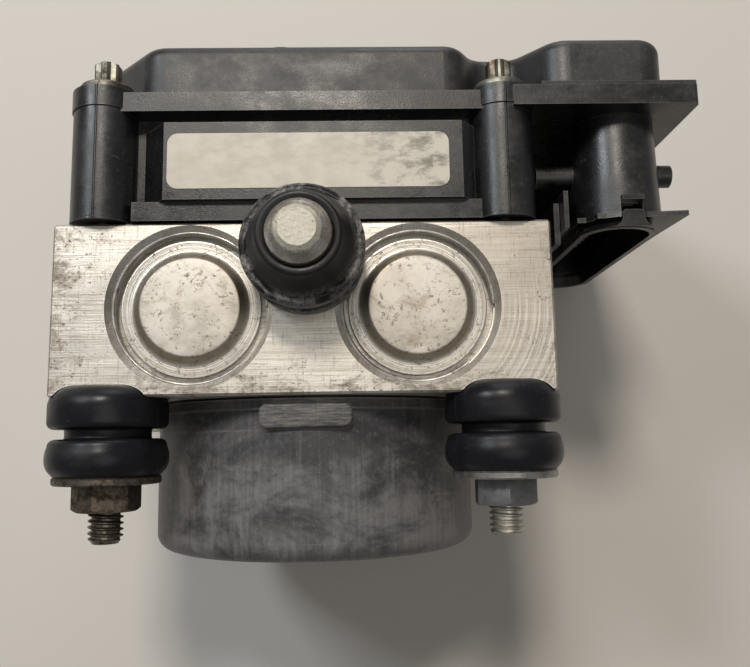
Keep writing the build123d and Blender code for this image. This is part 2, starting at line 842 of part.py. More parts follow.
with BuildPart() as motor_terminal:
    with BuildSketch(towards_motor(unit_side - 0.6)):
        with Locations((0, terminal_z)):
            Circle(terminal_r)
    extrude(amount=unit_side - 0.6 - plate_top_y - 0.1)
    with BuildSketch(towards_motor(tray_top + 0.1)):
        with Locations((terminal_pins[0], terminal_z), (terminal_pins[1], terminal_z)):
            Circle(terminal_pin_r)
    extrude(amount=tray_top + 0.1 - plate_bottom_y)
save(motor_terminal, "motor_terminal")

motor_screw_reach = can_face - flange_face + gasket_thickness + motor_screw_depth - 0.6
motor_screw_section = [
    (-motor_screw_reach, 0),
    (-motor_screw_reach, motor_screw_r - 0.5),
    (0.5 - motor_screw_reach, motor_screw_r),
    (0, motor_screw_r),
    (0, motor_screw_head_r),
    (motor_screw_head * 0.6, motor_screw_head_r),
    (motor_screw_head, motor_screw_head_r * 0.66),
    (motor_screw_head, 0),
]
with BuildPart() as motor_screws:
    for x, z in ear_places:
        screw_start = (x, flange_face, z)
        revolve(half_section(motor_screw_section, screw_start, to_motor), axis=Axis(screw_start, to_motor))
        with BuildSketch(towards_motor(flange_face - motor_screw_head)):
            with Locations((x, z)):
                RegularPolygon(1.9, 6)
        extrude(amount=-motor_screw_head * 0.65, mode=Mode.SUBTRACT)
save(motor_screws, "motor_screws")

# ---------------------------------------------------------------- isolators, washers, nuts and studs
neck_y = seat_y - isolator_lobe_one
lobe_y = neck_y - isolator_neck
washer_y = lobe_y - isolator_lobe_two
nut_y = washer_y - washer_thickness
groove_end = isolator_lobe_one + isolator_neck
isolator_end = groove_end + isolator_lobe_two

for name, side in sides:
    isolator_start = (side * isolator_x, seat_y, isolator_z)
    with BuildPart() as isolator:
        with BuildSketch(Plane(origin=isolator_start, x_dir=to_motor, z_dir=up)):
            with BuildLine():
                seat_arc = CenterArc(
                    (isolator_seat_round, isolator_r - isolator_seat_round), isolator_seat_round, 180, -90
                )
                upper_rim = CenterArc(
                    (isolator_lobe_one - isolator_rim_round, isolator_r - isolator_rim_round),
                    isolator_rim_round,
                    90,
                    -90,
                )
                lower_rim = CenterArc(
                    (groove_end + isolator_rim_round, isolator_waist_r - isolator_rim_round),
                    isolator_rim_round,
                    180,
                    -90,
                )
                lower_side = ThreePointArc(
                    lower_rim @ 1,
                    (groove_end + isolator_lobe_two / 2, isolator_bulge_r),
                    (isolator_end - 0.5, isolator_foot_r),
                )
                Line(seat_arc @ 1, upper_rim @ 0)
                Polyline(
                    upper_rim @ 1,
                    (isolator_lobe_one, isolator_neck_r),
                    (groove_end, isolator_neck_r),
                    lower_rim @ 0,
                )
                Polyline(
                    lower_side @ 1,
                    (isolator_end, isolator_foot_r - 0.5),
                    (isolator_end, stud_r + slide_gap),
                    (0, stud_r + slide_gap),
                    seat_arc @ 0,
                )
            make_face()
        revolve(axis=Axis(isolator_start, to_motor))
    save(isolator, f"isolator_{name}")

with BuildPart() as isolator_washers:
    with BuildSketch(towards_motor(washer_y)):
        with Locations((-isolator_x, isolator_z), (isolator_x, isolator_z)):
            Circle(washer_r)
            Circle(stud_r + slide_gap, mode=Mode.SUBTRACT)
    extrude(amount=washer_thickness)
    washer_rims = isolator_washers.edges().filter_by(GeomType.CIRCLE)
    chamfer(washer_rims.filter_by(lambda rim: rim.radius > washer_r - 1), 0.25)
save(isolator_washers, "isolator_washers")

nut_section = [
    (0, stud_r),
    (0, nut_across / 2 * 0.96),
    (0.4, nut_across / 2 * 1.1),
    (nut_height - 0.9, nut_across / 2 * 1.2),
    (nut_height, nut_across / 2 * 0.97),
    (nut_height, stud_r + 0.5),
    (nut_height - 0.5, stud_r),
]
with BuildPart() as isolator_nuts:
    for side in (-1, 1):
        nut_start = (side * isolator_x, nut_y, isolator_z)
        revolve(half_section(nut_section, nut_start, to_motor), axis=Axis(nut_start, to_motor))
    with BuildSketch(towards_motor(nut_y)):
        for side, turn in nut_turns.items():
            with Locations((side * isolator_x, isolator_z)):
                RegularPolygon(nut_across / 2, 6, major_radius=False, rotation=30 + turn)
    extrude(amount=nut_height, mode=Mode.INTERSECT)
save(isolator_nuts, "isolator_nuts")

stud_section = [
    (seat_y + stud_depth - 0.4, 0),
    (seat_y + stud_depth - 0.4, stud_r),
    (stud_end + 0.8, stud_r),
    (stud_end, stud_r - 0.7),
    (stud_end, 0),
]
with BuildPart() as isolator_studs:
    for side in (-1, 1):
        stud_start = (side * isolator_x, 0, isolator_z)
        revolve(half_section(stud_section, stud_start, to_unit), axis=Axis(stud_start, to_unit))
save(isolator_studs, "isolator_studs")

# ---------------------------------------------------------------- support pin and its grommet
grommet_foot_z = block_height + unit_gap
grommet_neck_z = grommet_foot_z + grommet_foot
grommet_rim_z = grommet_neck_z + grommet_groove
grommet_rim_top = grommet_rim_z + grommet_rim
pin_section = [
    (block_height - pin_thread_depth + 0.4, 0),
    (block_height - pin_thread_depth + 0.4, pin_thread_r - 0.5),
    (block_height - pin_thread_depth + 0.9, pin_thread_r),
    (block_height, pin_thread_r),
    (block_height, pin_r),
    (pin_shoulder_z - 0.3, pin_r),
    (pin_shoulder_z + 0.5, pin_r - 0.2),
    (pin_shoulder_z + 1.3, pin_r - 0.8),
    (pin_top - 0.5, pin_tip_r + 0.7),
    (pin_top, pin_tip_r),
    (pin_top, 0),
]
grommet_bore_r = pin_r + slide_gap
grommet_lip_z = grommet_rim_top + grommet_lip_rise
grommet_section = [
    (grommet_foot_z, grommet_bore_r),
    (grommet_foot_z, grommet_foot_r - 0.8),
    (grommet_foot_z + 0.8, grommet_foot_r),
    (grommet_neck_z - 0.6, grommet_foot_r),
    (grommet_neck_z, grommet_foot_r - 0.7),
    (grommet_neck_z, grommet_neck_r),
    (grommet_rim_z, grommet_neck_r),
    (grommet_rim_z, grommet_rim_r - 0.5),
    (grommet_rim_z + 0.6, grommet_rim_r),
    (grommet_rim_top - 0.8, grommet_rim_r),
    (grommet_rim_top, grommet_rim_r - 0.8),
    (grommet_rim_top + 0.2, grommet_step_r + 0.3),
    (grommet_rim_top + 0.9, grommet_step_r),
    (grommet_lip_z - 0.7, grommet_lip_r + 0.5),
    (grommet_lip_z, grommet_lip_r),
    (grommet_lip_z, grommet_bore_r),
]
pin_start = (pin_x, pin_y, 0)
with BuildPart() as support_pin:
    revolve(half_section(pin_section, pin_start, up), axis=Axis(pin_start, up))
save(support_pin, "support_pin")
with BuildPart() as support_grommet:
    revolve(half_section(grommet_section, pin_start, up), axis=Axis(pin_start, up))
save(support_grommet, "support_grommet")

# ---------------------------------------------------------------- solenoid valves
valve_floor = unit_side - valve_depth
valve_low = unit_side - valve_nose_depth + 0.1
dome_top = unit_side + dome_height
bore_low = unit_side - 5.6
armature_low = unit_side - 2.0
armature_rest = 0.3
pin_low = armature_low - 6.6
valve_section = [
    (valve_low, gallery_r),
    (valve_low, valve_nose_r - fit_gap),
    (valve_floor, valve_nose_r - fit_gap),
    (valve_floor, valve_r - fit_gap),
    (unit_side - 0.4, valve_r - fit_gap),
    (unit_side, valve_r - 0.5),
    (unit_side, dome_r),
    (dome_top - 1.4, dome_r),
    (dome_top - 0.4, dome_r - 0.5),
    (dome_top, dome_r - 1.6),
    (dome_top, 0),
    (dome_top - 1.4, 0),
    (dome_top - 1.4, armature_r + slide_gap),
    (bore_low, armature_r + slide_gap),
    (bore_low, gallery_r),
]
armature_section = [
    (pin_low, 0),
    (pin_low, armature_pin_r),
    (armature_low, armature_pin_r),
    (armature_low, armature_r - 0.3),
    (armature_low + 0.3, armature_r),
    (armature_low + armature_length, armature_r),
    (armature_low + armature_length, 0),
]
coil_foot = unit_side + coil_lift
coil_top = coil_foot + coil_height
coil_lip = 1.2
winding_r = coil_r - 0.6
coil_section = [
    (coil_foot, dome_r + slide_gap),
    (coil_foot, coil_r),
    (coil_foot + coil_lip, coil_r),
    (coil_foot + coil_lip, winding_r),
    (coil_top - coil_lip, winding_r),
    (coil_top - coil_lip, coil_r),
    (coil_top, coil_r),
    (coil_top, dome_r + slide_gap),
]
coil_pin = 0.7
coil_pin_x = 2.4
coil_pin_z = 5.2
coil_pins = [
    (x + spread, z + coil_pin_z)
    for x in valve_columns
    for z in (inlet_row_z, outlet_row_z)
    for spread in (-coil_pin_x, coil_pin_x)
]

for node, row_z, rest in (("inlet", inlet_row_z, armature_rest), ("outlet", outlet_row_z, 0)):
    with BuildPart() as valves:
        for x in valve_columns:
            valve_start = (x, 0, row_z)
            revolve(half_section(valve_section, valve_start, to_unit), axis=Axis(valve_start, to_unit))
    save(valves, f"{node}_valves")

    for number, x in enumerate(valve_columns, start=1):
        armature_start = (x, rest, row_z)
        with BuildPart() as armature:
            revolve(
                half_section(armature_section, armature_start, to_unit),
                axis=Axis(armature_start, to_unit),
            )
        save(armature, f"{node}_armature_{number}")

    with BuildPart() as coils:
        for x in valve_columns:
            coil_start = (x, 0, row_z)
            revolve(half_section(coil_section, coil_start, to_unit), axis=Axis(coil_start, to_unit))
        with BuildSketch(towards_motor(tray_top + 0.1)):
            for x in valve_columns:
                with Locations((x - coil_pin_x, row_z + coil_pin_z), (x + coil_pin_x, row_z + coil_pin_z)):
                    Rectangle(coil_pin, coil_pin)
        extrude(amount=tray_top + 0.1 - coil_top + coil_lip)
    save(coils, f"{node}_coils")

# ---------------------------------------------------------------- control unit housing
frame_start = unit_side + unit_gap
frame_mid_z = (frame_low + frame_high) / 2
cavity_x = frame_x - unit_wall
cavity_low = frame_low + unit_wall
cavity_high = frame_high - unit_wall
cavity_clip = 7.6
gasket_edge = 1.8
gasket_width = 1.4
gasket_depth = 0.9
shroud_mid_z = (shroud_near + shroud_far) / 2
shroud_span = shroud_near - shroud_far
mouth_mid_z = (mouth_near + mouth_far) / 2
mouth_span = mouth_near - mouth_far
neck_mid_z = (neck_near + neck_far) / 2
neck_span = neck_near - neck_far
connector_pin_places = [
    (shroud_x + side * 2.0, shroud_near - 14.0 - 2.6 * row) for side in (-1, 1) for row in range(8)
]
blade_places = [
    (shroud_x + side * 2.6, z) for side in (-1, 1) for z in (shroud_near - 2.0, shroud_near - 7.5)
]


def cover_outline(grow):
    """Outline of the control unit cover in plan, symmetric front to back, grown by a margin."""
    middle = (screw_high + screw_low) / 2
    front = [
        (cover_left, cover_left_corner_z, 6.0),
        (cover_front_left_x, cover_front_left, 6.0),
        (cover_front_left_end_x, cover_front_left, 5.0),
        (screw_x - cover_notch_half, cover_notch_z, 4.0),
        (screw_x + cover_notch_half, cover_notch_z, 4.0),
        (cover_front_right_x, cover_front_right, 6.0),
        (cover_right, cover_front_right, 5.0),
    ]
    back = [(x, 2 * middle - z, round_r) for x, z, round_r in reversed(front)]
    with BuildSketch() as outline:
        with BuildLine():
            Polyline(*[(x, z) for x, z, round_r in front + back], close=True)
        make_face()
        for x, z, round_r in front + back:
            corner = outline.vertices().sort_by_distance((x, z, 0))[0]
            fillet(corner, round_r)
        if grow:
            offset(amount=grow, kind=Kind.INTERSECTION)
    return outline.sketch


with BuildPart() as control_unit_housing:
    # frame round the coils, with the base flange and the label panel on its front
    add(upright_box(-frame_x, frame_x, frame_start, strip_foot, frame_low, frame_high))
    add(upright_box(base_left, base_right, frame_start, panel_foot, frame_mid_z, base_front))
    with BuildSketch(towards_motor(panel_top)):
        with BuildLine():
            Polyline(
                (panel_left, panel_front),
                (panel_right, panel_front),
                (panel_right + panel_slope, frame_high),
                (panel_right + panel_slope, frame_mid_z),
                (panel_left - panel_slope, frame_mid_z),
                (panel_left - panel_slope, frame_high),
                close=True,
            )
        make_face()
    extrude(amount=panel_top - panel_foot)
    # tray, with the thicker plate that carries the connector
    add(upright_box(tray_left, plate_left, strip_foot, tray_top, tray_low, strip_front))
    add(upright_box(plate_left, plate_right, plate_foot, tray_top, tray_low, plate_front))
    plate_corners = control_unit_housing.edges().filter_by(Axis.Y).group_by(Axis.X)[-1]
    fillet(plate_corners, plate_corner_r)
    # screw towers
    for x, z in screw_places:
        with BuildSketch(towards_motor(tower_top)):
            with Locations((x, z)):
                Circle(tower_collar_r)
        extrude(amount=tower_collar)
        with BuildSketch(towards_motor(tower_top - tower_collar)):
            with Locations((x, z)):
                Circle(tower_r)
        extrude(amount=tower_top - tower_collar - frame_start)
    # foot beside the right tower
    with BuildSketch(towards_motor(foot_top)):
        with BuildLine():
            Polyline(
                (foot_left, foot_front),
                (foot_ridge, foot_front),
                (foot_right, foot_back),
                (foot_right, foot_back - foot_step),
                (foot_left, foot_back - foot_step),
                close=True,
            )
        make_face()
    extrude(amount=foot_top - foot_low)
    # connector shroud, drafted towards the plate
    with BuildSketch(towards_motor(flange_foot)):
        with Locations((shroud_x, shroud_mid_z)):
            SlotCenterToCenter(shroud_span, 2 * shroud_r, rotation=90)
    extrude(amount=flange_foot - plate_foot - 0.5, taper=shroud_draft)
    # collar round the mouth, flared from a narrower neck at the flange
    with BuildSketch(towards_motor(flange_foot)):
        with Locations((neck_x, neck_mid_z)):
            SlotCenterToCenter(neck_span, 2 * neck_r, rotation=90)
    with BuildSketch(towards_motor(mouth_end)):
        with Locations((mouth_x, mouth_mid_z)):
            SlotCenterToCenter(mouth_span, 2 * mouth_r, rotation=90)
    loft()
    # stepped flange between them, drawn out to a point at the front
    with BuildSketch(towards_motor(flange_top)):
        with Locations((shroud_x, (flange_near + shroud_far) / 2)):
            SlotCenterToCenter(flange_near - shroud_far, 2 * (shroud_r + flange_rim), rotation=90)
        with BuildLine():
            Polyline(
                (flange_ledges[0][0], shroud_mid_z),
                *flange_ledges,
                flange_tip,
                flange_side,
                (shroud_x + shroud_r + flange_rim, shroud_mid_z),
                close=True,
            )
        make_face()
    extrude(amount=flange_top - flange_foot)
    # ribs between the shroud and the frame, on a web that carries on from the flange
    web_right = shroud_x - shroud_r + 1.0
    add(upright_box(rib_one_x, web_right, flange_foot, flange_top, rib_back, rib_web_front))
    rib_one_right = rib_one_x + rib_one_thickness
    rib_two_right = rib_two_x + rib_two_thickness
    add(upright_box(rib_one_x, rib_one_right, rib_one_low, rib_one_top, rib_back, rib_one_front))
    add(upright_box(rib_two_x, rib_two_right, rib_two_low, rib_two_top, rib_back, rib_two_front))
    # bar over the latch window
    add(
        upright_box(
            latch_left, latch_right, window_top, window_top + window_bar, shroud_near, window_bar_front
        )
    )
    # socket, and the mouth's wider opening below it
    with BuildSketch(towards_motor(shroud_floor)):
        with Locations((socket_x, shroud_mid_z)):
            SlotCenterToCenter(shroud_span, 2 * socket_r, rotation=90)
    extrude(amount=shroud_floor - flange_top, mode=Mode.SUBTRACT)
    with BuildSketch(towards_motor(flange_top)):
        with Locations((neck_x, neck_mid_z)):
            SlotCenterToCenter(neck_span, 2 * (neck_r - mouth_wall), rotation=90)
    extrude(amount=flange_top - flange_foot, mode=Mode.SUBTRACT)
    with BuildSketch(towards_motor(flange_foot)):
        with Locations((neck_x, neck_mid_z)):
            SlotCenterToCenter(neck_span, 2 * (neck_r - mouth_wall), rotation=90)
    with BuildSketch(towards_motor(mouth_end)):
        with Locations((mouth_x, mouth_mid_z)):
            SlotCenterToCenter(mouth_span, 2 * (mouth_r - mouth_wall), rotation=90)
    loft(mode=Mode.SUBTRACT)
    # latch window in the shroud's front wall, and the tongue that stands up in it
    add(
        upright_box(latch_left, latch_right, flange_top, window_top, shroud_near, latch_front + 1.0),
        mode=Mode.SUBTRACT,
    )
    with BuildSketch(Plane.XY.offset(latch_front)):
        with BuildLine():
            latch_head = Polyline(
                (latch_left, flange_foot - 0.2),
                (latch_left, latch_top - 0.4),
                (latch_left + 0.4, latch_top),
                (latch_right - 0.4, latch_top),
                (latch_right, latch_top - 0.4),
                (latch_right, flange_foot - 0.2),
            )
            left_flank = ThreePointArc(
                latch_head @ 0,
                (latch_left - latch_flare * 0.3, flange_foot - 1.3),
                (latch_left - latch_flare, mouth_end + 0.1),
            )
            right_flank = ThreePointArc(
                latch_head @ 1,
                (latch_right + latch_flare * 0.3, flange_foot - 1.3),
                (latch_right + latch_flare, mouth_end + 0.1),
            )
            Line(left_flank @ 1, right_flank @ 1)
        make_face()
    extrude(amount=-latch_depth)
    # keying pegs on the shroud's flanks
    for reach, root in ((peg_right, shroud_x + shroud_r - 0.9), (peg_left, shroud_x - shroud_r + 0.9)):
        with BuildSketch(Plane.YZ.offset(root)):
            with Locations((peg_y, peg_z)):
                Circle(peg_r)
        extrude(amount=reach - root)
    # cavity for the coils and the groove for the gasket
    with BuildSketch(towards_motor(tray_floor)):
        with BuildLine():
            Polyline(*clipped_corners(cavity_x, cavity_low, cavity_high, cavity_clip), close=True)
        make_face()
    extrude(amount=tray_floor - frame_start, mode=Mode.SUBTRACT)
    with BuildSketch(towards_motor(frame_start + gasket_depth)):
        with BuildLine():
            Polyline(
                *clipped_corners(
                    frame_x - gasket_edge,
                    frame_low + gasket_edge,
                    frame_high - gasket_edge,
                    cavity_clip,
                ),
                close=True,
            )
        make_face()
        offset(amount=-gasket_width, kind=Kind.INTERSECTION, mode=Mode.SUBTRACT)
    extrude(amount=gasket_depth, mode=Mode.SUBTRACT)
    # holes for the screws, the coil pins, the motor terminal and the connector pins
    for x, z in screw_places:
        with drilled(x, tower_top, z, to_unit):
            Hole(screw_hole_r, tower_top - frame_start)
    with BuildSketch(towards_motor(tray_top)):
        for x, z in coil_pins:
            with Locations((x, z)):
                Rectangle(coil_pin + 0.4, coil_pin + 0.4)
        for x in terminal_pins:
            with Locations((x, terminal_z)):
                Circle(terminal_pin_r + 0.2)
        for x, z in connector_pin_places:
            with Locations((x, z)):
                Rectangle(small_pin + 2 * fit_gap, small_pin + 2 * fit_gap)
        for x, z in blade_places:
            with Locations((x, z)):
                Rectangle(blade_width + 2 * fit_gap, blade_thickness + 2 * fit_gap)
    extrude(amount=tray_top - shroud_floor + 0.5, mode=Mode.SUBTRACT)
    # tower tops cut back where the cover stands
    extrude(
        Plane(origin=(0, tower_top, 0), x_dir=(1, 0, 0), z_dir=to_motor) * cover_outline(unit_gap),
        amount=tower_top - tray_top,
        mode=Mode.SUBTRACT,
    )
save(control_unit_housing, "control_unit_housing")

with BuildPart() as block_gasket:
    with BuildSketch(towards_motor(frame_start + gasket_depth)):
        with BuildLine():
            Polyline(
                *clipped_corners(
                    frame_x - gasket_edge, frame_low + gasket_edge, frame_high - gasket_edge, cavity_clip
                ),
                close=True,
            )
        make_face()
        offset(amount=-gasket_width, kind=Kind.INTERSECTION, mode=Mode.SUBTRACT)
    extrude(amount=gasket_depth + unit_gap)
save(block_gasket, "block_gasket")

# ---------------------------------------------------------------- control unit cover and vent
flange_low = tray_low + cover_flange_inset
flange_high = plate_front - cover_flange_inset
flange_right = plate_right - cover_flange_inset
with BuildPart() as control_unit_cover:
    extrude(towards_motor(cover_top) * cover_outline(0), amount=cover_top - tray_top)
    fillet(control_unit_cover.faces().sort_by(Axis.Y)[-1].edges(), cover_round)
    # thin flange round the foot, clear of the screw towers
    with BuildSketch(towards_motor(tray_top + cover_flange)):
        add(cover_outline(cover_flange_rim))
        with Locations(((cover_flange_left + flange_right) / 2, (flange_low + flange_high) / 2)):
            Rectangle(flange_right - cover_flange_left, flange_high - flange_low)
        with Locations(*screw_places):
            Circle(tower_collar_r + unit_gap, mode=Mode.SUBTRACT)
    extrude(amount=cover_flange)
    extrude(
        towards_motor(cover_top - cover_skin) * cover_outline(-cover_skin),
        amount=cover_top - cover_skin - tray_top,
        mode=Mode.SUBTRACT,
    )
    with drilled(vent_x, cover_top, vent_z, to_unit):
        Hole(vent_r - 1.2, cover_skin)
save(control_unit_cover, "control_unit_cover")

vent_section = [
    (cover_top, 0),
    (cover_top + vent_rise, 0),
    (cover_top + vent_rise, vent_r - 0.5),
    (cover_top + vent_rise - 0.4, vent_r),
    (cover_top, vent_r),
]
vent_start = (vent_x, 0, vent_z)
with BuildPart() as vent_cap:
    revolve(half_section(vent_section, vent_start, to_unit), axis=Axis(vent_start, to_unit))
save(vent_cap, "vent_cap")

# ---------------------------------------------------------------- circuit board and pins
board_foot = tray_top + 0.1
with BuildPart() as circuit_board:
    extrude(
        towards_motor(board_foot + board_thickness) * cover_outline(-cover_skin - 0.5),
        amount=board_thickness,
    )
    with BuildSketch(towards_motor(board_foot + board_thickness)):
        for x, z in coil_pins + connector_pin_places + blade_places:
            with Locations((x, z)):
                Circle(0.3)
    extrude(amount=0.4, mode=Mode.SUBTRACT)
save(circuit_board, "circuit_board")

board_top = board_foot + board_thickness
component_sizes = (
    (-18.0, 46.0, 16.0, 16.0, 1.6),
    (6.0, 22.0, 14.0, 10.0, 2.2),
    (-20.0, 18.0, 10.0, 10.0, 4.0),
    (24.0, 28.0, 8.0, 8.0, 5.0),
    (46.0, 14.0, 9.0, 9.0, 5.5),
    (22.0, 50.0, 6.0, 5.0, 1.4),
    (46.0, 58.0, 6.0, 5.0, 1.4),
)
with BuildPart() as board_components:
    for x, z, width, depth, height in component_sizes:
        add(upright_box(x, x + width, board_top, board_top + height, z, z + depth))
save(board_components, "board_components")

with BuildPart() as connector_pins:
    with BuildSketch(towards_motor(board_foot)):
        for x, z in connector_pin_places:
            with Locations((x, z)):
                Rectangle(small_pin, small_pin)
        for x, z in blade_places:
            with Locations((x, z)):
                Rectangle(blade_width, blade_thickness)
    extrude(amount=board_foot - pin_tip_y)
save(connector_pins, "connector_pins")

# ---------------------------------------------------------------- control unit screws
screw_reach = tower_top - unit_side + screw_depth - 0.5
screw_section = [
    (-screw_reach, 0),
    (-screw_reach, screw_shank_r - 0.5),
    (0.5 - screw_reach, screw_shank_r),
    (0, screw_shank_r),
    (0, screw_flange_r),
    (0.4, screw_flange_r),
    (screw_flange, screw_head_r + 0.2),
    (screw_flange, screw_head_r),
    (screw_flange + screw_head - 0.5, screw_head_r),
    (screw_flange + screw_head, screw_head_r - 0.5),
    (screw_flange + screw_head, 0),
]
with BuildPart() as control_unit_screws:
    for x, z in screw_places:
        screw_start = (x, tower_top, z)
        revolve(half_section(screw_section, screw_start, to_unit), axis=Axis(screw_start, to_unit))
        with BuildSketch(towards_motor(tower_top + screw_flange + screw_head)):
            with Locations((x, z)):
                with PolarLocations(screw_head_r + 0.25, 6):
                    Circle(0.75)
        extrude(amount=screw_head - 0.4, mode=Mode.SUBTRACT)
save(control_unit_screws, "control_unit_screws")

# ---------------------------------------------------------------- blank label
with BuildPart() as blank_label:
    with BuildSketch(Plane.XY.offset(panel_front)):
        with Locations((label_x, label_y)):
            RectangleRounded(label_length, label_width, 1.8)
    extrude(amount=label_thickness)
save(blank_label, "blank_label")
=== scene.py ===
import json
import math

import bpy
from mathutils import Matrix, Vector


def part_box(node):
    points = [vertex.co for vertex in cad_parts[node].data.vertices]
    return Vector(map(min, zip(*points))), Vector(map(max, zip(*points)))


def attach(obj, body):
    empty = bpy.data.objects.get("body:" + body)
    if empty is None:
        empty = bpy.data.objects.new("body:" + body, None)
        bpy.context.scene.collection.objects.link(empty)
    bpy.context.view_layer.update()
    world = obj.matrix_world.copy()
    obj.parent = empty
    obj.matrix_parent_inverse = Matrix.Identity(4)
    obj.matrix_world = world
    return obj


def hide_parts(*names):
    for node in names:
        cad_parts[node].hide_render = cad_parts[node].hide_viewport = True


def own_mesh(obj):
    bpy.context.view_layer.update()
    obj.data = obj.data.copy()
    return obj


# Anti-lock brake module on a pale bench: finishes for the modelled pieces, the small turned,
# moulded and coiled pieces that are made here, the bench, the lamps and the camera. Metres.

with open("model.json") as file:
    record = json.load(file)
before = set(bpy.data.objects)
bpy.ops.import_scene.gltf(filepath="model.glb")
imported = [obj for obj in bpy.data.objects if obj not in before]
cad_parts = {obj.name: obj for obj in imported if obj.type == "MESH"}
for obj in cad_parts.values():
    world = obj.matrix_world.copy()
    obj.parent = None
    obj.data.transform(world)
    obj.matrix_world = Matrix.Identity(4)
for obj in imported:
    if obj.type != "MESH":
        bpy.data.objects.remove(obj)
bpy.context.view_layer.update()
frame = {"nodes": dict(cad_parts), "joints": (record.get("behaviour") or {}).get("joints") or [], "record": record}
MM = 0.001

bpy.ops.object.select_all(action="DESELECT")


def middle(node):
    low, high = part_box(node)
    return (low + high) / 2


# places on the module, read from its nodes
cad_flange_radius = 3.8 * MM
screws_low, screws_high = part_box("control_unit_screws")
tower_x = screws_high.x - cad_flange_radius
lid_x, lid_y = middle("accumulator_cover_right")[:2]
pin_x, pin_y = middle("support_pin")[:2]
isolator_z = middle("isolator_washers").z


# ---------------------------------------------------------------- laying out a finish
def new_finish(name, colour, roughness, metallic=0.0, specular=0.5):
    finish = bpy.data.materials.new(name)
    finish.use_nodes = True
    shader = finish.node_tree.nodes["Principled BSDF"]
    shader.inputs["Base Color"].default_value = (*colour, 1.0)
    shader.inputs["Roughness"].default_value = roughness
    shader.inputs["Metallic"].default_value = metallic
    shader.inputs["Specular IOR Level"].default_value = specular
    return finish


def finish_with(finish, colour, roughness, normal):
    shader = finish.node_tree.nodes["Principled BSDF"]
    for value, socket in ((colour, "Base Color"), (roughness, "Roughness"), (normal, "Normal")):
        feed(finish, value, shader.inputs[socket])
    return finish


def add_node(finish, kind, **settings):
    node = finish.node_tree.nodes.new(kind)
    for setting, value in settings.items():
        setattr(node, setting, value)
    return node


def feed(finish, value, socket):
    """A socket takes either another node's output or a plain number or colour."""
    if isinstance(value, bpy.types.NodeSocket):
        finish.node_tree.links.new(value, socket)
    else:
        socket.default_value = value


def maths(finish, operation, *values, clamp=False):
    sum_node = add_node(finish, "ShaderNodeMath", operation=operation, use_clamp=clamp)
    for value, socket in zip(values, sum_node.inputs):
        feed(finish, value, socket)
    return sum_node.outputs[0]


def plus(finish, first, second, clamp=False):
    return maths(finish, "ADD", first, second, clamp=clamp)


def minus(finish, first, second):
    return maths(finish, "SUBTRACT", first, second)


def times(finish, first, second, clamp=False):
    return maths(finish, "MULTIPLY", first, second, clamp=clamp)


def between(finish, value, low, high, at_low=0.0, at_high=1.0):
    """Spreads a value's range from low to high softly over at_low to at_high, and holds it beyond."""
    spread = add_node(finish, "ShaderNodeMapRange", interpolation_type="SMOOTHSTEP")
    feed(finish, value, spread.inputs["Value"])
    feed(finish, low, spread.inputs["From Min"])
    feed(finish, high, spread.inputs["From Max"])
    feed(finish, at_low, spread.inputs["To Min"])
    feed(finish, at_high, spread.inputs["To Max"])
    return spread.outputs["Result"]


def on_piece(finish, stretch=(1.0, 1.0, 1.0), centre=(0.0, 0.0, 0.0), turn=(0.0, 0.0, 0.0)):
    """Coordinates on the piece itself, moved to a centre and stretched, in cycles per metre."""
    coordinates = add_node(finish, "ShaderNodeTexCoord")
    moved = add_node(finish, "ShaderNodeVectorMath", operation="SUBTRACT")
    feed(finish, coordinates.outputs["Object"], moved.inputs[0])
    feed(finish, centre, moved.inputs[1])
    mapping = add_node(finish, "ShaderNodeMapping")
    feed(finish, moved.outputs[0], mapping.inputs["Vector"])
    feed(finish, stretch, mapping.inputs["Scale"])
    feed(finish, turn, mapping.inputs["Rotation"])
    return mapping.outputs["Vector"]


def coordinate(finish, axis, centre=(0.0, 0.0, 0.0)):
    """One coordinate on the piece, in metres."""
    parts = add_node(finish, "ShaderNodeSeparateXYZ")
    feed(finish, on_piece(finish, centre=centre), parts.inputs[0])
    return parts.outputs[axis]


def from_upright(finish, x, y):
    """Distance from an upright axis, in metres."""
    length = add_node(finish, "ShaderNodeVectorMath", operation="LENGTH")
    feed(finish, on_piece(finish, (1.0, 1.0, 0.0), (x, y, 0.0)), length.inputs[0])
    return length.outputs["Value"]


def from_line(finish, x):
    """Distance across the module past a place that lies at x on both of its sides, in metres."""
    return minus(finish, maths(finish, "ABSOLUTE", coordinate(finish, "X")), x)


def cloud(finish, stretch, detail=4.0, rough=0.55, twist=0.0, centre=(0.0, 0.0, 0.0), turn=(0.0,) * 3):
    """Soft noise; stretch gives its cycles per metre along each axis."""
    noise = add_node(finish, "ShaderNodeTexNoise")
    feed(finish, on_piece(finish, stretch, centre, turn), noise.inputs["Vector"])
    feed(finish, 1.0, noise.inputs["Scale"])
    feed(finish, detail, noise.inputs["Detail"])
    feed(finish, rough, noise.inputs["Roughness"])
    feed(finish, twist, noise.inputs["Distortion"])
    return noise.outputs["Fac"]


def even_cloud(finish, pitch, **settings):
    """Soft noise that is alike along every axis."""
    return cloud(finish, (pitch, pitch, pitch), **settings)


def rings_round(finish, distance, pitch, **settings):
    """Uneven rings, so many to a metre of distance."""
    rings = add_node(finish, "ShaderNodeTexNoise", noise_dimensions="1D")
    feed(finish, times(finish, distance, pitch), rings.inputs["W"])
    feed(finish, 1.0, rings.inputs["Scale"])
    for setting, value in settings.items():
        feed(finish, value, rings.inputs[setting])
    return rings.outputs["Fac"]


def facing_up(finish, low, high, at_least=0.0):
    """1 where the surface lies flat and looks up, and at_least where it doesn't."""
    surface = add_node(finish, "ShaderNodeNewGeometry")
    directions = add_node(finish, "ShaderNodeSeparateXYZ")
    feed(finish, surface.outputs["Normal"], directions.inputs[0])
    return between(finish, directions.outputs["Z"], low, high, at_least, 1.0)


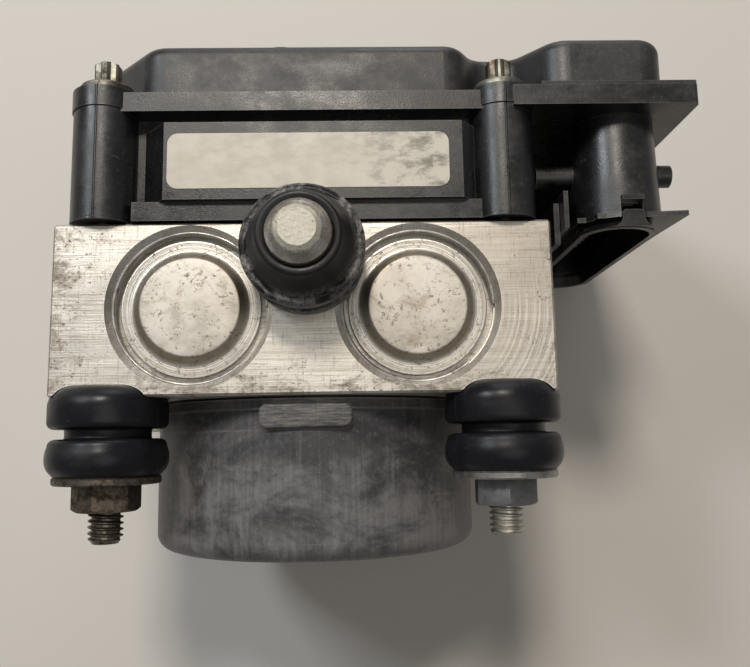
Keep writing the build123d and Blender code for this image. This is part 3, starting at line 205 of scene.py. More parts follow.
def worn_edge(finish, radius):
    """1 along outer and inner edges, 0 on flats."""
    rounded = add_node(finish, "ShaderNodeBevel", samples=6)
    feed(finish, radius, rounded.inputs["Radius"])
    surface = add_node(finish, "ShaderNodeNewGeometry")
    likeness = add_node(finish, "ShaderNodeVectorMath", operation="DOT_PRODUCT")
    feed(finish, rounded.outputs["Normal"], likeness.inputs[0])
    feed(finish, surface.outputs["Normal"], likeness.inputs[1])
    return between(finish, likeness.outputs["Value"], 0.995, 0.85)


def tint(finish, amount, under, over):
    """Lays one colour over another by an amount from 0 to 1."""
    mix = add_node(finish, "ShaderNodeMix", data_type="RGBA")
    feed(finish, amount, mix.inputs["Factor"])
    feed(finish, (*under, 1.0) if isinstance(under, tuple) else under, mix.inputs["A"])
    feed(finish, (*over, 1.0) if isinstance(over, tuple) else over, mix.inputs["B"])
    return mix.outputs["Result"]


def laid(finish, under, over, pattern, low, high, share=1.0):
    """Lays a colour over another where a pattern rises from low to high."""
    return tint(finish, between(finish, pattern, low, high, 0.0, share), under, over)


def washed(finish, under, over, amount, share):
    """Lays a share of a colour over another, by an amount that is already worked out."""
    return tint(finish, times(finish, amount, share), under, over)


def relief(finish, height, depth, strength):
    """Raises the surface by a height of 0 to 1 times depth in metres."""
    bump = add_node(finish, "ShaderNodeBump")
    feed(finish, strength, bump.inputs["Strength"])
    feed(finish, depth, bump.inputs["Distance"])
    feed(finish, height, bump.inputs["Height"])
    return bump.outputs["Normal"]


def shaded(colour, share):
    return tuple(share * c for c in colour)


# ---------------------------------------------------------------- milled block
def cutter_sweep(finish):
    """Cutter marks that sweep round the right accumulator, at the block's right end."""
    rings = rings_round(finish, from_upright(finish, lid_x, lid_y), 1500.0)
    at_right = between(finish, coordinate(finish, "X"), 0.026, 0.037)
    at_front = between(finish, coordinate(finish, "Y"), 0.006, -0.003)
    return times(finish, between(finish, rings, 0.42, 0.62), times(finish, at_right, at_front))


def grimy_edges(finish):
    """Grime gathers along the left and lower edges and round the isolator seats."""
    left_edge = between(finish, coordinate(finish, "X"), -0.031, -0.042)
    lower_edge = between(finish, coordinate(finish, "Y"), -0.0085, -0.0146)
    right_edge = between(finish, coordinate(finish, "X"), 0.037, 0.042, 0.0, 0.5)
    edges = maths(finish, "MAXIMUM", maths(finish, "MAXIMUM", left_edge, lower_edge), right_edge)
    return times(finish, edges, facing_up(finish, 0.3, 0.7, 0.25))


def milled_aluminium():
    """Milled block: lines along it, finer ones across, pits, stains and gritty edges, with painted shade darkening
    its right end.
    """
    finish = new_finish("milled block aluminium", (0.66, 0.61, 0.53), 0.42, metallic=1.0)
    lines = cloud(finish, (90, 4200, 4200), detail=3.0, rough=0.7)
    cross = cloud(finish, (3600, 260, 260), detail=3.0, rough=0.65, centre=(0.2, 0.0, 0.3))
    bands = cloud(finish, (25, 700, 700), detail=4.0, rough=0.6)
    patches = cloud(finish, (70, 110, 110), detail=5.0, rough=0.6)
    stains = cloud(finish, (150, 230, 230), detail=9.0, rough=0.72, twist=0.4, centre=(0.3, 0.1, 0.2))
    grit = cloud(finish, (1700, 2300, 2300), detail=4.0, rough=0.7)
    pits = cloud(finish, (520, 900, 900), detail=4.0, rough=0.65, centre=(0.1, 0.4, 0.0))
    swept = cutter_sweep(finish)
    grime = plus(finish, stains, times(finish, grimy_edges(finish), 0.17))
    near_grime = between(finish, grime, 0.50, 0.66, 0.12, 1.0)
    gritty = times(finish, between(finish, grit, 0.56, 0.66), near_grime)

    colour = laid(finish, (0.67, 0.63, 0.56), (0.82, 0.785, 0.715), patches, 0.35, 0.7)
    # painted shade: the block is darkened and browned towards its right end, where less light falls
    colour = laid(finish, colour, (0.46, 0.405, 0.33), coordinate(finish, "X"), 0.012, 0.040, 0.6)
    colour = laid(finish, colour, (0.44, 0.385, 0.31), bands, 0.4, 0.7, 0.4)
    colour = laid(finish, colour, (0.30, 0.26, 0.215), lines, 0.48, 0.70, 0.7)
    colour = laid(finish, colour, (0.30, 0.26, 0.21), cross, 0.54, 0.70, 0.5)
    colour = laid(finish, colour, (0.20, 0.16, 0.115), grime, 0.60, 0.76, 0.72)
    colour = washed(finish, colour, (0.085, 0.07, 0.055), gritty, 0.85)
    colour = laid(finish, colour, (0.12, 0.085, 0.05), pits, 0.67, 0.73, 0.8)
    colour = washed(finish, colour, (0.88, 0.86, 0.80), swept, 0.35)
    colour = washed(finish, colour, (0.80, 0.77, 0.71), worn_edge(finish, 0.0003), 0.8)
    rough = between(finish, patches, 0.3, 0.7, 0.36, 0.5)
    rough = plus(finish, rough, between(finish, grime, 0.55, 0.8, 0.0, 0.2))
    height = plus(finish, lines, times(finish, bands, 0.5))
    height = plus(finish, height, times(finish, cross, 0.5))
    height = minus(finish, height, between(finish, pits, 0.64, 0.74, 0.0, 1.6))
    height = minus(finish, height, gritty)
    height = plus(finish, height, times(finish, swept, 0.4))
    return finish_with(finish, colour, rough, relief(finish, height, 0.000035, 0.8))


def from_lid_axis(finish):
    """Distance from the axis of the lid on the same side, in metres."""
    across = maths(finish, "POWER", from_line(finish, lid_x), 2.0)
    along = maths(finish, "POWER", coordinate(finish, "Y", (0.0, lid_y, 0.0)), 2.0)
    return maths(finish, "POWER", plus(finish, across, along), 0.5)


def turned_aluminium():
    """Satin turned lids, with fine turning rings, brown stains, dark specks and painted shade on the slope."""
    finish = new_finish("satin turned aluminium", (0.62, 0.58, 0.51), 0.4, metallic=1.0)
    haze = even_cloud(finish, 120, detail=7.0, rough=0.62)
    stains = cloud(finish, (210, 260, 210), detail=8.0, rough=0.7, twist=0.6, centre=(0.4, 0.1, 0.0))
    specks = even_cloud(finish, 1500, detail=6.0, rough=0.72)
    dirty = even_cloud(finish, 330, detail=3.0, centre=(0.1, 0.7, 0.0))
    satin = even_cloud(finish, 5200, detail=2.0)
    radius = from_lid_axis(finish)
    rings = rings_round(finish, radius, 3800.0, Detail=2.0)
    on_brim = between(finish, radius, 0.0092, 0.0098)
    on_slope = minus(finish, between(finish, radius, 0.0079, 0.0084), on_brim)
    lines = times(finish, between(finish, rings, 0.5, 0.72), on_brim)
    in_dirt = between(finish, dirty, 0.36, 0.60, 0.1, 1.0)
    speckled = times(finish, between(finish, specks, 0.52, 0.64), in_dirt)

    colour = laid(finish, (0.49, 0.45, 0.385), (0.65, 0.61, 0.545), haze, 0.35, 0.68)
    colour = laid(finish, colour, (0.33, 0.27, 0.20), stains, 0.52, 0.66, 0.6)
    # painted shade: the sloping wall between brim and crown is darkened all round
    colour = washed(finish, colour, (0.20, 0.165, 0.125), on_slope, 0.55)
    colour = washed(finish, colour, (0.80, 0.77, 0.71), on_brim, 0.5)
    colour = washed(finish, colour, (0.30, 0.26, 0.21), lines, 0.55)
    colour = washed(finish, colour, (0.11, 0.09, 0.07), speckled, 0.8)
    rough = between(finish, haze, 0.3, 0.7, 0.34, 0.5)
    height = minus(finish, times(finish, satin, 0.4), times(finish, lines, 0.7))
    height = minus(finish, height, speckled)
    height = plus(finish, height, times(finish, stains, 0.8))
    return finish_with(finish, colour, rough, relief(finish, height, 0.00002, 0.7))


# ---------------------------------------------------------------- motor coating
def worn_motor_coating():
    """Grey lacquer over drawn steel: wiped streaks down its side, rubbed bands round it, and a painted shadow
    darkening it next to the block.
    """
    finish = new_finish("worn grey motor coating", (0.08, 0.08, 0.08), 0.46, specular=0.4)
    rub = cloud(finish, (75, 110, 75), detail=9.0, rough=0.7, twist=0.5)
    grain = cloud(finish, (3000, 1100, 2000), detail=6.0, rough=0.75)
    wipes = cloud(finish, (1500, 45, 200), detail=5.0, rough=0.68)
    hoops = cloud(finish, (10, 330, 10), detail=5.0, rough=0.62)
    dust = even_cloud(finish, 1100, detail=5.0, rough=0.75)
    scuffs = cloud(finish, (170, 420, 170), detail=8.0, rough=0.74, twist=0.5, centre=(0.2, 0.0, 0.1))
    scrapes = cloud(finish, (330, 3600, 330), detail=7.0, rough=0.75)
    drawn_line = between(finish, hoops, 0.60, 0.66)
    # painted shadow: the can is darkened next to the block, where the block's shadow falls, and lightened beyond
    # it
    away_from_painted_shadow = between(finish, coordinate(finish, "Y"), -0.0225, -0.0275)
    rubbed = between(finish, rub, 0.37, 0.61, 0.12, 1.0)
    wear_and_painted_shadow = times(finish, rubbed, between(finish, wipes, 0.32, 0.66, 0.62, 1.0))
    wear_and_painted_shadow = times(finish, wear_and_painted_shadow, between(finish, away_from_painted_shadow, 0.0, 1.0, 0.55, 1.15), clamp=True)
    on_lug = between(finish, coordinate(finish, "Z"), 0.0666, 0.0669)
    scraped = times(finish, on_lug, between(finish, scrapes, 0.40, 0.62))

    colour = tint(finish, wear_and_painted_shadow, (0.042, 0.042, 0.046), (0.225, 0.22, 0.22))
    colour = washed(finish, colour, (0.26, 0.25, 0.235), drawn_line, 0.30)
    colour = laid(finish, colour, (0.26, 0.255, 0.25), wipes, 0.58, 0.72, 0.35)
    colour = laid(finish, colour, (0.045, 0.043, 0.042), scuffs, 0.60, 0.70, 0.55)
    colour = laid(finish, colour, (0.28, 0.27, 0.25), dust, 0.52, 0.72, 0.4)
    colour = laid(finish, colour, (0.03, 0.03, 0.03), dust, 0.44, 0.30, 0.45)
    colour = laid(finish, colour, (0.032, 0.031, 0.031), grain, 0.54, 0.72, 0.55)
    colour = laid(finish, colour, (0.30, 0.29, 0.28), grain, 0.42, 0.28, 0.30)
    colour = washed(finish, colour, (0.32, 0.30, 0.27), scraped, 0.6)
    colour = washed(finish, colour, (0.34, 0.32, 0.29), worn_edge(finish, 0.0006), 0.6)
    rough = between(finish, rub, 0.35, 0.7, 0.40, 0.58)
    height = plus(finish, dust, times(finish, grain, 0.8))
    height = plus(finish, height, times(finish, drawn_line, 0.5))
    return finish_with(finish, colour, rough, relief(finish, height, 0.00004, 0.6))


# ---------------------------------------------------------------- moulded plastics and rubber
def parting_line(finish):
    """The line that the mould's halves left down the front of each screw tower."""
    off_line = maths(finish, "ABSOLUTE", from_line(finish, tower_x))
    return times(finish, between(finish, off_line, 0.00022, 0.00008), facing_up(finish, 0.7, 0.9))


def moulded_black(name, shade, roughness, dusting, parted=False):
    """Glass-filled black plastic with a spark-eroded grain, handled and dusty."""
    finish = new_finish(name, (shade, shade, shade * 1.2), roughness, specular=0.6)
    grain = even_cloud(finish, 3300, detail=3.0, rough=0.6)
    flow = even_cloud(finish, 120, detail=5.0, rough=0.6)
    dust = even_cloud(finish, 1300, detail=5.0, rough=0.75)
    haze = cloud(finish, (210, 330, 210), detail=7.0, rough=0.68, centre=(0.1, 0.0, 0.6))
    rubs = cloud(finish, (300, 1100, 500), detail=4.0, rough=0.65, turn=(0.0, 0.0, 0.5))
    settled = times(finish, facing_up(finish, 0.75, 0.99), between(finish, haze, 0.35, 0.65, 0.1, 1.0))
    settled = times(finish, settled, between(finish, dust, 0.35, 0.6, 0.4, 1.0))

    cool_shade = (shade * 1.4, shade * 1.4, shade * 1.6)
    colour = laid(finish, (shade * 0.7,) * 3, cool_shade, flow, 0.3, 0.7)
    colour = washed(finish, colour, (0.30, 0.285, 0.265), settled, dusting * 0.22)
    colour = laid(finish, colour, (0.26, 0.25, 0.23), dust, 0.57, 0.76, dusting * 0.6)
    colour = laid(finish, colour, (0.18, 0.175, 0.17), rubs, 0.64, 0.78, dusting * 0.8)
    colour = washed(finish, colour, (0.3, 0.29, 0.27), worn_edge(finish, 0.0004), 0.35 * dusting)
    rough = between(finish, flow, 0.3, 0.7, roughness - 0.07, roughness + 0.08)
    rough = plus(finish, rough, times(finish, settled, 0.12))
    height = grain
    if parted:
        line = parting_line(finish)
        height = plus(finish, height, times(finish, line, 7.0))
        # painted shade: the parting line is darkened as well as raised
        colour = washed(finish, colour, (0.0, 0.0, 0.0), line, 0.35)
    return finish_with(finish, colour, rough, relief(finish, height, 0.00004, 0.75))


def moulded_rubber(name, shade, roughness):
    """Smooth black rubber with pale smears and a little dust."""
    finish = new_finish(name, (shade,) * 3, roughness, specular=0.3)
    skin = even_cloud(finish, 700, detail=4.0, rough=0.6)
    smears = cloud(finish, (140, 260, 140), detail=5.0, rough=0.65)
    dust = even_cloud(finish, 1700, detail=4.0, rough=0.7)
    smeared = (shade * 3, shade * 3, shade * 3.2)
    colour = laid(finish, (shade, shade, shade * 1.35), smeared, smears, 0.5, 0.75, 0.6)
    colour = laid(finish, colour, (0.16, 0.15, 0.14), dust, 0.62, 0.76, 0.4)
    rough = between(finish, smears, 0.35, 0.7, roughness - 0.06, roughness + 0.14)
    return finish_with(finish, colour, rough, relief(finish, skin, 0.00004, 0.5))


def flaking_rubber():
    """Old grommet rubber, with a dry pale bloom that flakes off along its rim."""
    finish = new_finish("grommet rubber", (0.010, 0.010, 0.011), 0.36, specular=0.32)
    bloom = cloud(finish, (190, 190, 330), detail=7.0, rough=0.68, twist=0.8)
    crumbs = even_cloud(finish, 1400, detail=5.0, rough=0.7)
    skin = even_cloud(finish, 900, detail=3.0)
    on_rim = between(finish, from_upright(finish, pin_x, pin_y), 0.0078, 0.0090)
    flakes = times(finish, between(finish, bloom, 0.42, 0.54), on_rim)
    flakes = times(finish, flakes, between(finish, crumbs, 0.38, 0.60, 0.2, 1.0))
    colour = washed(finish, (0.010, 0.010, 0.011), (0.40, 0.385, 0.365), flakes, 0.85)
    colour = laid(finish, colour, (0.16, 0.15, 0.14), crumbs, 0.60, 0.74, 0.4)
    rough = between(finish, bloom, 0.3, 0.7, 0.30, 0.46)
    rough = plus(finish, rough, times(finish, flakes, 0.3), clamp=True)
    height = plus(finish, skin, times(finish, flakes, 3.0))
    return finish_with(finish, colour, rough, relief(finish, height, 0.00005, 0.6))


# ---------------------------------------------------------------- steels and other metals
def plated_steel(name, bright, dull, roughness, rust=0.0):
    """Plated steel, hazed and grimy, with fine marks round it."""
    finish = new_finish(name, bright, roughness, metallic=1.0)
    haze = even_cloud(finish, 220, detail=6.0, rough=0.65)
    grime = even_cloud(finish, 420, detail=5.0, rough=0.7, centre=(0.2, 0.5, 0.1))
    marks = cloud(finish, (500, 2600, 500), detail=3.0, rough=0.6)
    colour = laid(finish, bright, dull, haze, 0.35, 0.65)
    colour = laid(finish, colour, shaded(dull, 0.35), grime, 0.52, 0.7, 0.8)
    if rust:
        colour = laid(finish, colour, (0.12, 0.055, 0.025), haze, 0.5, 0.62, rust)
    rough = between(finish, grime, 0.35, 0.7, roughness - 0.08, roughness + 0.2)
    return finish_with(finish, colour, rough, relief(finish, plus(finish, marks, grime), 0.00002, 0.5))


def fixing_steel(name, left, right, roughness):
    """Plated fixings: dull brown on the left of the module, still zinc grey on the right."""
    finish = new_finish(name, left, roughness, metallic=1.0)
    haze = even_cloud(finish, 260, detail=6.0, rough=0.65)
    crust = even_cloud(finish, 900, detail=6.0, rough=0.7, centre=(0.2, 0.5, 0.1))
    right_side = between(finish, coordinate(finish, "X"), -0.002, 0.002)
    by_side = between(finish, right_side, 0.0, 1.0, 0.9, 0.12)
    eaten = times(finish, between(finish, crust, 0.42, 0.62), by_side)
    colour = tint(finish, right_side, left, right)
    colour = laid(finish, colour, shaded(left, 0.55), haze, 0.35, 0.7, 0.5)
    colour = tint(finish, eaten, colour, (0.075, 0.052, 0.036))
    colour = laid(finish, colour, (0.30, 0.24, 0.17), crust, 0.66, 0.74, 0.5)
    rough = between(finish, crust, 0.3, 0.7, roughness - 0.06, roughness + 0.12)
    rough = plus(finish, rough, times(finish, eaten, 0.2))
    return finish_with(finish, colour, rough, relief(finish, crust, 0.00006, 0.7))


def rough_tipped_steel():
    """The support pin: a bright shoulder and a rough flat tip, as cast."""
    finish = new_finish("support pin steel", (0.5, 0.48, 0.43), 0.3, metallic=1.0)
    haze = even_cloud(finish, 320, detail=6.0, rough=0.65)
    grit = even_cloud(finish, 1250, detail=7.0, rough=0.75)
    ragged = times(finish, minus(finish, grit, 0.5), 0.0016)
    on_tip = between(finish, plus(finish, coordinate(finish, "Z"), ragged), 0.0882, 0.0885)
    colour = laid(finish, (0.60, 0.58, 0.54), (0.31, 0.285, 0.24), haze, 0.35, 0.68)
    colour = tint(finish, on_tip, colour, (0.64, 0.60, 0.50))
    colour = laid(finish, colour, (0.13, 0.11, 0.085), grit, 0.56, 0.66, 0.65)
    rough = plus(finish, between(finish, haze, 0.3, 0.7, 0.22, 0.36), times(finish, on_tip, 0.12))
    height = times(finish, grit, between(finish, on_tip, 0.0, 1.0, 0.15, 1.0))
    return finish_with(finish, colour, rough, relief(finish, height, 0.00028, 0.9))


def plain_metal(name, colour, roughness, turned_axis="Y"):
    """Inner turned metal with its turning marks."""
    finish = new_finish(name, colour, roughness, metallic=1.0)
    pitch = {"Y": (40, 2600, 40), "Z": (40, 40, 2600)}[turned_axis]
    marks = cloud(finish, pitch, detail=3.0)
    haze = even_cloud(finish, 260, detail=5.0)
    shade = laid(finish, shaded(colour, 0.8), colour, haze, 0.3, 0.7)
    shade = laid(finish, shade, shaded(colour, 0.5), marks, 0.55, 0.75, 0.4)
    rough = between(finish, haze, 0.3, 0.7, roughness - 0.05, roughness + 0.1)
    return finish_with(finish, shade, rough, relief(finish, marks, 0.00001, 0.4))


# ---------------------------------------------------------------- inner mouldings, label and wire
def plain_moulding(name, colour, roughness, speckle):
    """Inner moulded or pressed piece with a fine speckle."""
    finish = new_finish(name, colour, roughness)
    flecks = even_cloud(finish, 1800, detail=4.0, rough=0.7)
    flow = even_cloud(finish, 150, detail=5.0)
    shade = laid(finish, shaded(colour, 0.8), shaded(colour, 1.2), flow, 0.3, 0.7)
    shade = laid(finish, shade, speckle, flecks, 0.55, 0.7, 0.5)
    rough = between(finish, flow, 0.3, 0.7, roughness - 0.06, roughness + 0.08)
    return finish_with(finish, shade, rough, relief(finish, flecks, 0.00002, 0.4))


def blank_label_film():
    """Cream label film with nothing printed, smudged towards the connector end."""
    finish = new_finish("blank label film", (0.72, 0.66, 0.55), 0.45)
    smudge = cloud(finish, (260, 420, 260), detail=6.0, rough=0.7)
    specks = even_cloud(finish, 1900, detail=3.0, rough=0.6)
    dirty_end = between(finish, coordinate(finish, "X"), 0.004, 0.024)
    dirt = times(finish, between(finish, smudge, 0.45, 0.62), dirty_end)
    colour = laid(finish, (0.78, 0.73, 0.62), (0.62, 0.56, 0.45), smudge, 0.35, 0.7, 0.4)
    colour = washed(finish, colour, (0.17, 0.15, 0.13), dirt, 0.75)
    colour = laid(finish, colour, (0.2, 0.17, 0.14), specks, 0.68, 0.74, 0.6)
    rough = between(finish, smudge, 0.35, 0.7, 0.38, 0.6)
    return finish_with(finish, colour, rough, relief(finish, smudge, 0.00002, 0.4))


def enamelled_wire():
    """Red brown enamelled wire, with its turns standing out."""
    finish = new_finish("enamelled winding wire", (0.45, 0.14, 0.05), 0.35, specular=0.6)
    turns = cloud(finish, (1500, 300, 1500), detail=2.0)
    colour = laid(finish, (0.22, 0.06, 0.02), (0.6, 0.24, 0.09), turns, 0.35, 0.65)
    rough = between(finish, turns, 0.3, 0.7, 0.25, 0.45)
    return finish_with(finish, colour, rough, relief(finish, turns, 0.0001, 0.7))


finishes = {
    "block": milled_aluminium(),
    "turned_aluminium": turned_aluminium(),
    "motor_coating": worn_motor_coating(),
    "black_housing": moulded_black("housing black plastic", 0.008, 0.29, 0.55, parted=True),
    "black_cover": moulded_black("cover black plastic", 0.011, 0.40, 0.5),
    "vent": moulded_black("vent black plastic", 0.03, 0.5, 0.2),
    "isolator_rubber": moulded_rubber("isolator rubber", 0.008, 0.33),
    "seal_rubber": moulded_rubber("seal rubber", 0.018, 0.5),
    "dark_steel": plated_steel("dull dark steel", (0.20, 0.185, 0.165), (0.09, 0.08, 0.07), 0.45, 0.5),
    "bright_steel": plated_steel("plated steel", (0.62, 0.60, 0.55), (0.36, 0.34, 0.30), 0.32),
    "ground_steel": plain_metal("ground steel", (0.62, 0.62, 0.63), 0.22),
    "spring_steel": plain_metal("drawn spring wire", (0.35, 0.35, 0.37), 0.35, "Z"),
    "bronze": plain_metal("sintered bronze", (0.55, 0.36, 0.16), 0.5),
    "laminations": plain_metal("varnished laminations", (0.16, 0.16, 0.17), 0.45),
    "winding_wire": enamelled_wire(),
    "copper": plain_metal("commutator copper", (0.72, 0.38, 0.2), 0.3),
    "ferrite": plain_moulding("pressed ferrite", (0.05, 0.05, 0.052), 0.6, (0.12, 0.12, 0.12)),
    "phenolic": plain_moulding("moulded carrier", (0.10, 0.05, 0.025), 0.5, (0.2, 0.12, 0.07)),
    "carbon": plain_moulding("pressed carbon", (0.03, 0.03, 0.03), 0.55, (0.2, 0.1, 0.06)),
    "board": plain_moulding("coated circuit board", (0.02, 0.14, 0.05), 0.35, (0.05, 0.25, 0.1)),
    "chips": plain_moulding("moulded component bodies", (0.03, 0.03, 0.03), 0.5, (0.1, 0.1, 0.1)),
    "contacts": plain_metal("tinned contacts", (0.7, 0.66, 0.55), 0.3),
    "label": blank_label_film(),
}
screw_bright = (0.30, 0.285, 0.24)
screw_dull = (0.09, 0.082, 0.065)
own_finishes = {
    "isolator_washers": fixing_steel("washer steel", (0.17, 0.15, 0.125), (0.40, 0.39, 0.37), 0.42),
    "isolator_nuts": fixing_steel("nut steel", (0.15, 0.125, 0.10), (0.25, 0.25, 0.25), 0.4),
    "isolator_studs": fixing_steel("stud steel", (0.21, 0.185, 0.15), (0.62, 0.59, 0.52), 0.34),
    "snap_rings": plated_steel("snap ring steel", (0.46, 0.44, 0.41), (0.27, 0.25, 0.23), 0.36),
    "control_unit_screws": plated_steel("dirty zinc screw", screw_bright, screw_dull, 0.46, 0.35),
    "support_pin": rough_tipped_steel(),
    "support_grommet": flaking_rubber(),
}
slot_of = {part["node"]: part["material_slot"] for part in frame["record"]["subparts"]}


def finish_of(node):
    return own_finishes.get(node) or finishes[slot_of[node]]


for node, piece in frame["nodes"].items():
    piece.data.materials.clear()
    piece.data.materials.append(finish_of(node))


# ---------------------------------------------------------------- making pieces
TO_MOTOR = (0.0, -1.0, 0.0)
TO_UNIT = (0.0, 1.0, 0.0)
UP = (0.0, 0.0, 1.0)


def step_along(start, direction, distance):
    return tuple(s + d * distance * MM for s, d in zip(start, direction))


def hold(*pieces):
    """Selects only these pieces, the first of them active."""
    bpy.ops.object.select_all(action="DESELECT")
    for piece in pieces:
        piece.select_set(True)
    bpy.context.view_layer.objects.active = pieces[0]


def set_in_place(piece):
    """Moves the piece's place into its mesh, with its object at the origin."""
    hold(piece)
    bpy.ops.object.transform_apply(location=True, rotation=True, scale=True)


def finish_modifier(piece, modifier):
    hold(piece)
    bpy.ops.object.modifier_apply(modifier=modifier.name)


def turned(name, start, direction, steps, sides=96, capped=False):
    """A ring drawn along an axis through steps of distance and radius in millimetres."""
    bpy.ops.object.select_all(action="DESELECT")
    stood = (math.pi / 2, 0.0, 0.0) if direction[1] else (0.0, 0.0, 0.0)
    bpy.ops.mesh.primitive_circle_add(
        vertices=sides,
        radius=steps[0][1] * MM,
        location=step_along(start, direction, steps[0][0]),
        rotation=stood,
    )
    piece = bpy.context.object
    piece.name = piece.data.name = name
    set_in_place(piece)
    bpy.ops.object.mode_set(mode="EDIT")
    bpy.ops.mesh.select_all(action="SELECT")
    for (last_distance, last_radius), (distance, radius) in zip(steps, steps[1:]):
        moved = [d * (distance - last_distance) * MM for d in direction]
        bpy.ops.mesh.extrude_edges_move(TRANSFORM_OT_translate={"value": moved})
        grown = radius / last_radius
        bpy.ops.transform.resize(
            value=[1.0 if d else grown for d in direction],
            center_override=step_along(start, direction, distance),
        )
    close_up(0.000002, capped)
    return piece


def close_up(doubles, capped=True):
    """Leaves edit mode with the points merged, open ends filled and every face outwards."""
    bpy.ops.mesh.select_all(action="SELECT")
    bpy.ops.mesh.remove_doubles(threshold=doubles)
    if capped:
        bpy.ops.mesh.fill_holes(sides=0)
    bpy.ops.mesh.normals_make_consistent(inside=False)
    bpy.ops.object.mode_set(mode="OBJECT")


def rounding(centre_distance, centre_radius, size, first, last, count=6):
    """Steps round a corner, from one angle to another; 0 points along the axis and 90 outwards."""
    turns = [math.radians(first + (last - first) * k / count) for k in range(count + 1)]
    return [(centre_distance + size * math.cos(t), centre_radius + size * math.sin(t)) for t in turns]


def settle(piece, node, angle=38.0):
    """Gives a made piece the finish of the node that it stands for, hides that node and puts the piece on its
    body.
    """
    hold(piece)
    bpy.ops.object.shade_smooth_by_angle(angle=math.radians(angle))
    piece.data.materials.clear()
    piece.data.materials.append(finish_of(node))
    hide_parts(node)
    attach(piece, "module")


def join_as(name, pieces, node, angle):
    hold(*pieces)
    bpy.ops.object.join()
    pieces[0].name = pieces[0].data.name = name
    settle(pieces[0], node, angle=angle)


def keep_inside(piece, blank):
    """Cuts a made piece to a turned blank, as its ends would be turned."""
    cut = piece.modifiers.new("turned ends", "BOOLEAN")
    cut.operation = "INTERSECT"
    cut.solver = "EXACT"
    cut.object = blank
    finish_modifier(piece, cut)
    bpy.data.objects.remove(blank)


def resize_points(piece, wanted, value, centre):
    """Resizes about a centre the points that wanted says yes to."""
    for point in piece.data.vertices:
        point.select = wanted(point)
    for edge in piece.data.edges:
        edge.select = all(piece.data.vertices[v].select for v in edge.vertices)
    for face in piece.data.polygons:
        face.select = False
    bpy.ops.object.mode_set(mode="EDIT")
    bpy.ops.mesh.select_mode(type="VERT")
    bpy.ops.transform.resize(value=value, center_override=centre)
    bpy.ops.object.mode_set(mode="OBJECT")


# ---------------------------------------------------------------- rubber isolators
def isolator_outline():
    """From the seat in the block: a round lobe, a neck, and a bulging lobe down to its foot."""
    bore, lobe, neck, waist = 3.0, 9.85, 7.05, 9.65
    neck_start, neck_end, foot = 7.2, 8.8, 15.0
    seat_round, rim_round, fillet = 3.4, 1.2, 0.3
    flank = neck + fillet + 0.55
    outline = [(0.0, bore), (0.0, lobe - seat_round)]
    outline += rounding(seat_round, lobe - seat_round, seat_round, 180, 90, 8)[1:]
    outline += rounding(neck_start - rim_round, lobe - rim_round, rim_round, 90, 0)
    outline += [(neck_start, flank), (neck_start, neck + fillet)]
    outline += rounding(neck_start + fillet, neck + fillet, fillet, 180, 270, 3)[1:]
    outline += rounding(neck_end - fillet, neck + fillet, fillet, 270, 360, 3)
    outline += [(neck_end, flank)]
    outline += rounding(neck_end + rim_round, waist - rim_round, rim_round, 180, 90)
    outline += [(10.7, 9.86), (11.4, 10.0), (12.1, 10.03), (12.8, 9.97), (13.5, 9.76), (14.1, 9.42)]
    outline += [(14.5, 9.05), (14.72, 8.85), (foot, 8.6), (foot, bore), (0.0, bore)]
    return outline


def mould_line(piece, start, tilt):
    """A thin flash line along two sides of an isolator's lobes, where its mould parted."""
    half_width = 0.16
    above_neck = 8.0 * MM
    proud = 1.007
    across = (math.cos(tilt), 0.0, math.sin(tilt))
    hold(piece)
    for aside in (-half_width, 0.0, half_width):
        bpy.ops.object.mode_set(mode="EDIT")
        bpy.ops.mesh.select_all(action="SELECT")
        bpy.ops.mesh.bisect(plane_co=step_along(start, across, aside), plane_no=across)
        bpy.ops.object.mode_set(mode="OBJECT")

    def on_line(point):
        off = [c - s for c, s in zip(point.co, start)]
        aside = off[0] * across[0] + off[2] * across[2]
        return abs(aside) < half_width * MM / 8 and math.hypot(off[0], off[2]) > above_neck

    resize_points(piece, on_line, (proud, 1.0, proud), start)


for node, tilt in (("isolator_left", -1.22), ("isolator_right", 1.08)):
    low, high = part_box(node)
    start = ((low.x + high.x) / 2, high.y, isolator_z)
    rubber = turned("rubber_" + node, start, TO_MOTOR, isolator_outline())
    mould_line(rubber, start, tilt)
    settle(rubber, node)


# ---------------------------------------------------------------- grommet round the support pin
def grommet_outline():
    """From the block: foot, groove, rim, and a lip that tapers in to the pin."""
    bore, groove = 5.25, 7.0
    groove_start, groove_end, fillet = 3.2, 6.2, 0.3
    outline = [(0.0, bore), (0.0, 9.1)] + rounding(0.8, 9.05, 0.8, 180, 90)[1:]
    outline += rounding(groove_start - 0.7, 9.15, 0.7, 90, 0)
    outline += [(groove_start, 8.6), (groove_start, groove + fillet)]
    outline += rounding(groove_start + fillet, groove + fillet, fillet, 180, 270, 3)[1:]
    outline += rounding(groove_end - fillet, groove + fillet, fillet, 270, 360, 3)
    outline += rounding(groove_end + 0.6, 9.35, 0.6, 180, 90)
    outline += rounding(8.6, 9.15, 0.8, 90, 10) + [(9.42, 9.45), (9.3, 9.2), (9.34, 8.9)]
    outline += [(9.6, 8.72), (10.0, 8.52), (10.6, 8.32), (12.2, 7.5), (13.8, 6.86), (14.6, 6.62)]
    outline += rounding(15.1, 6.02, 0.6, 65, 5) + [(15.7, 5.6), (15.5, bore), (0.0, bore)]
    return outline


grommet_start = (pin_x, pin_y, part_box("support_grommet")[0].z)
grommet = turned("rubber_grommet", grommet_start, UP, grommet_outline(), sides=112)
settle(grommet, "support_grommet", angle=50.0)


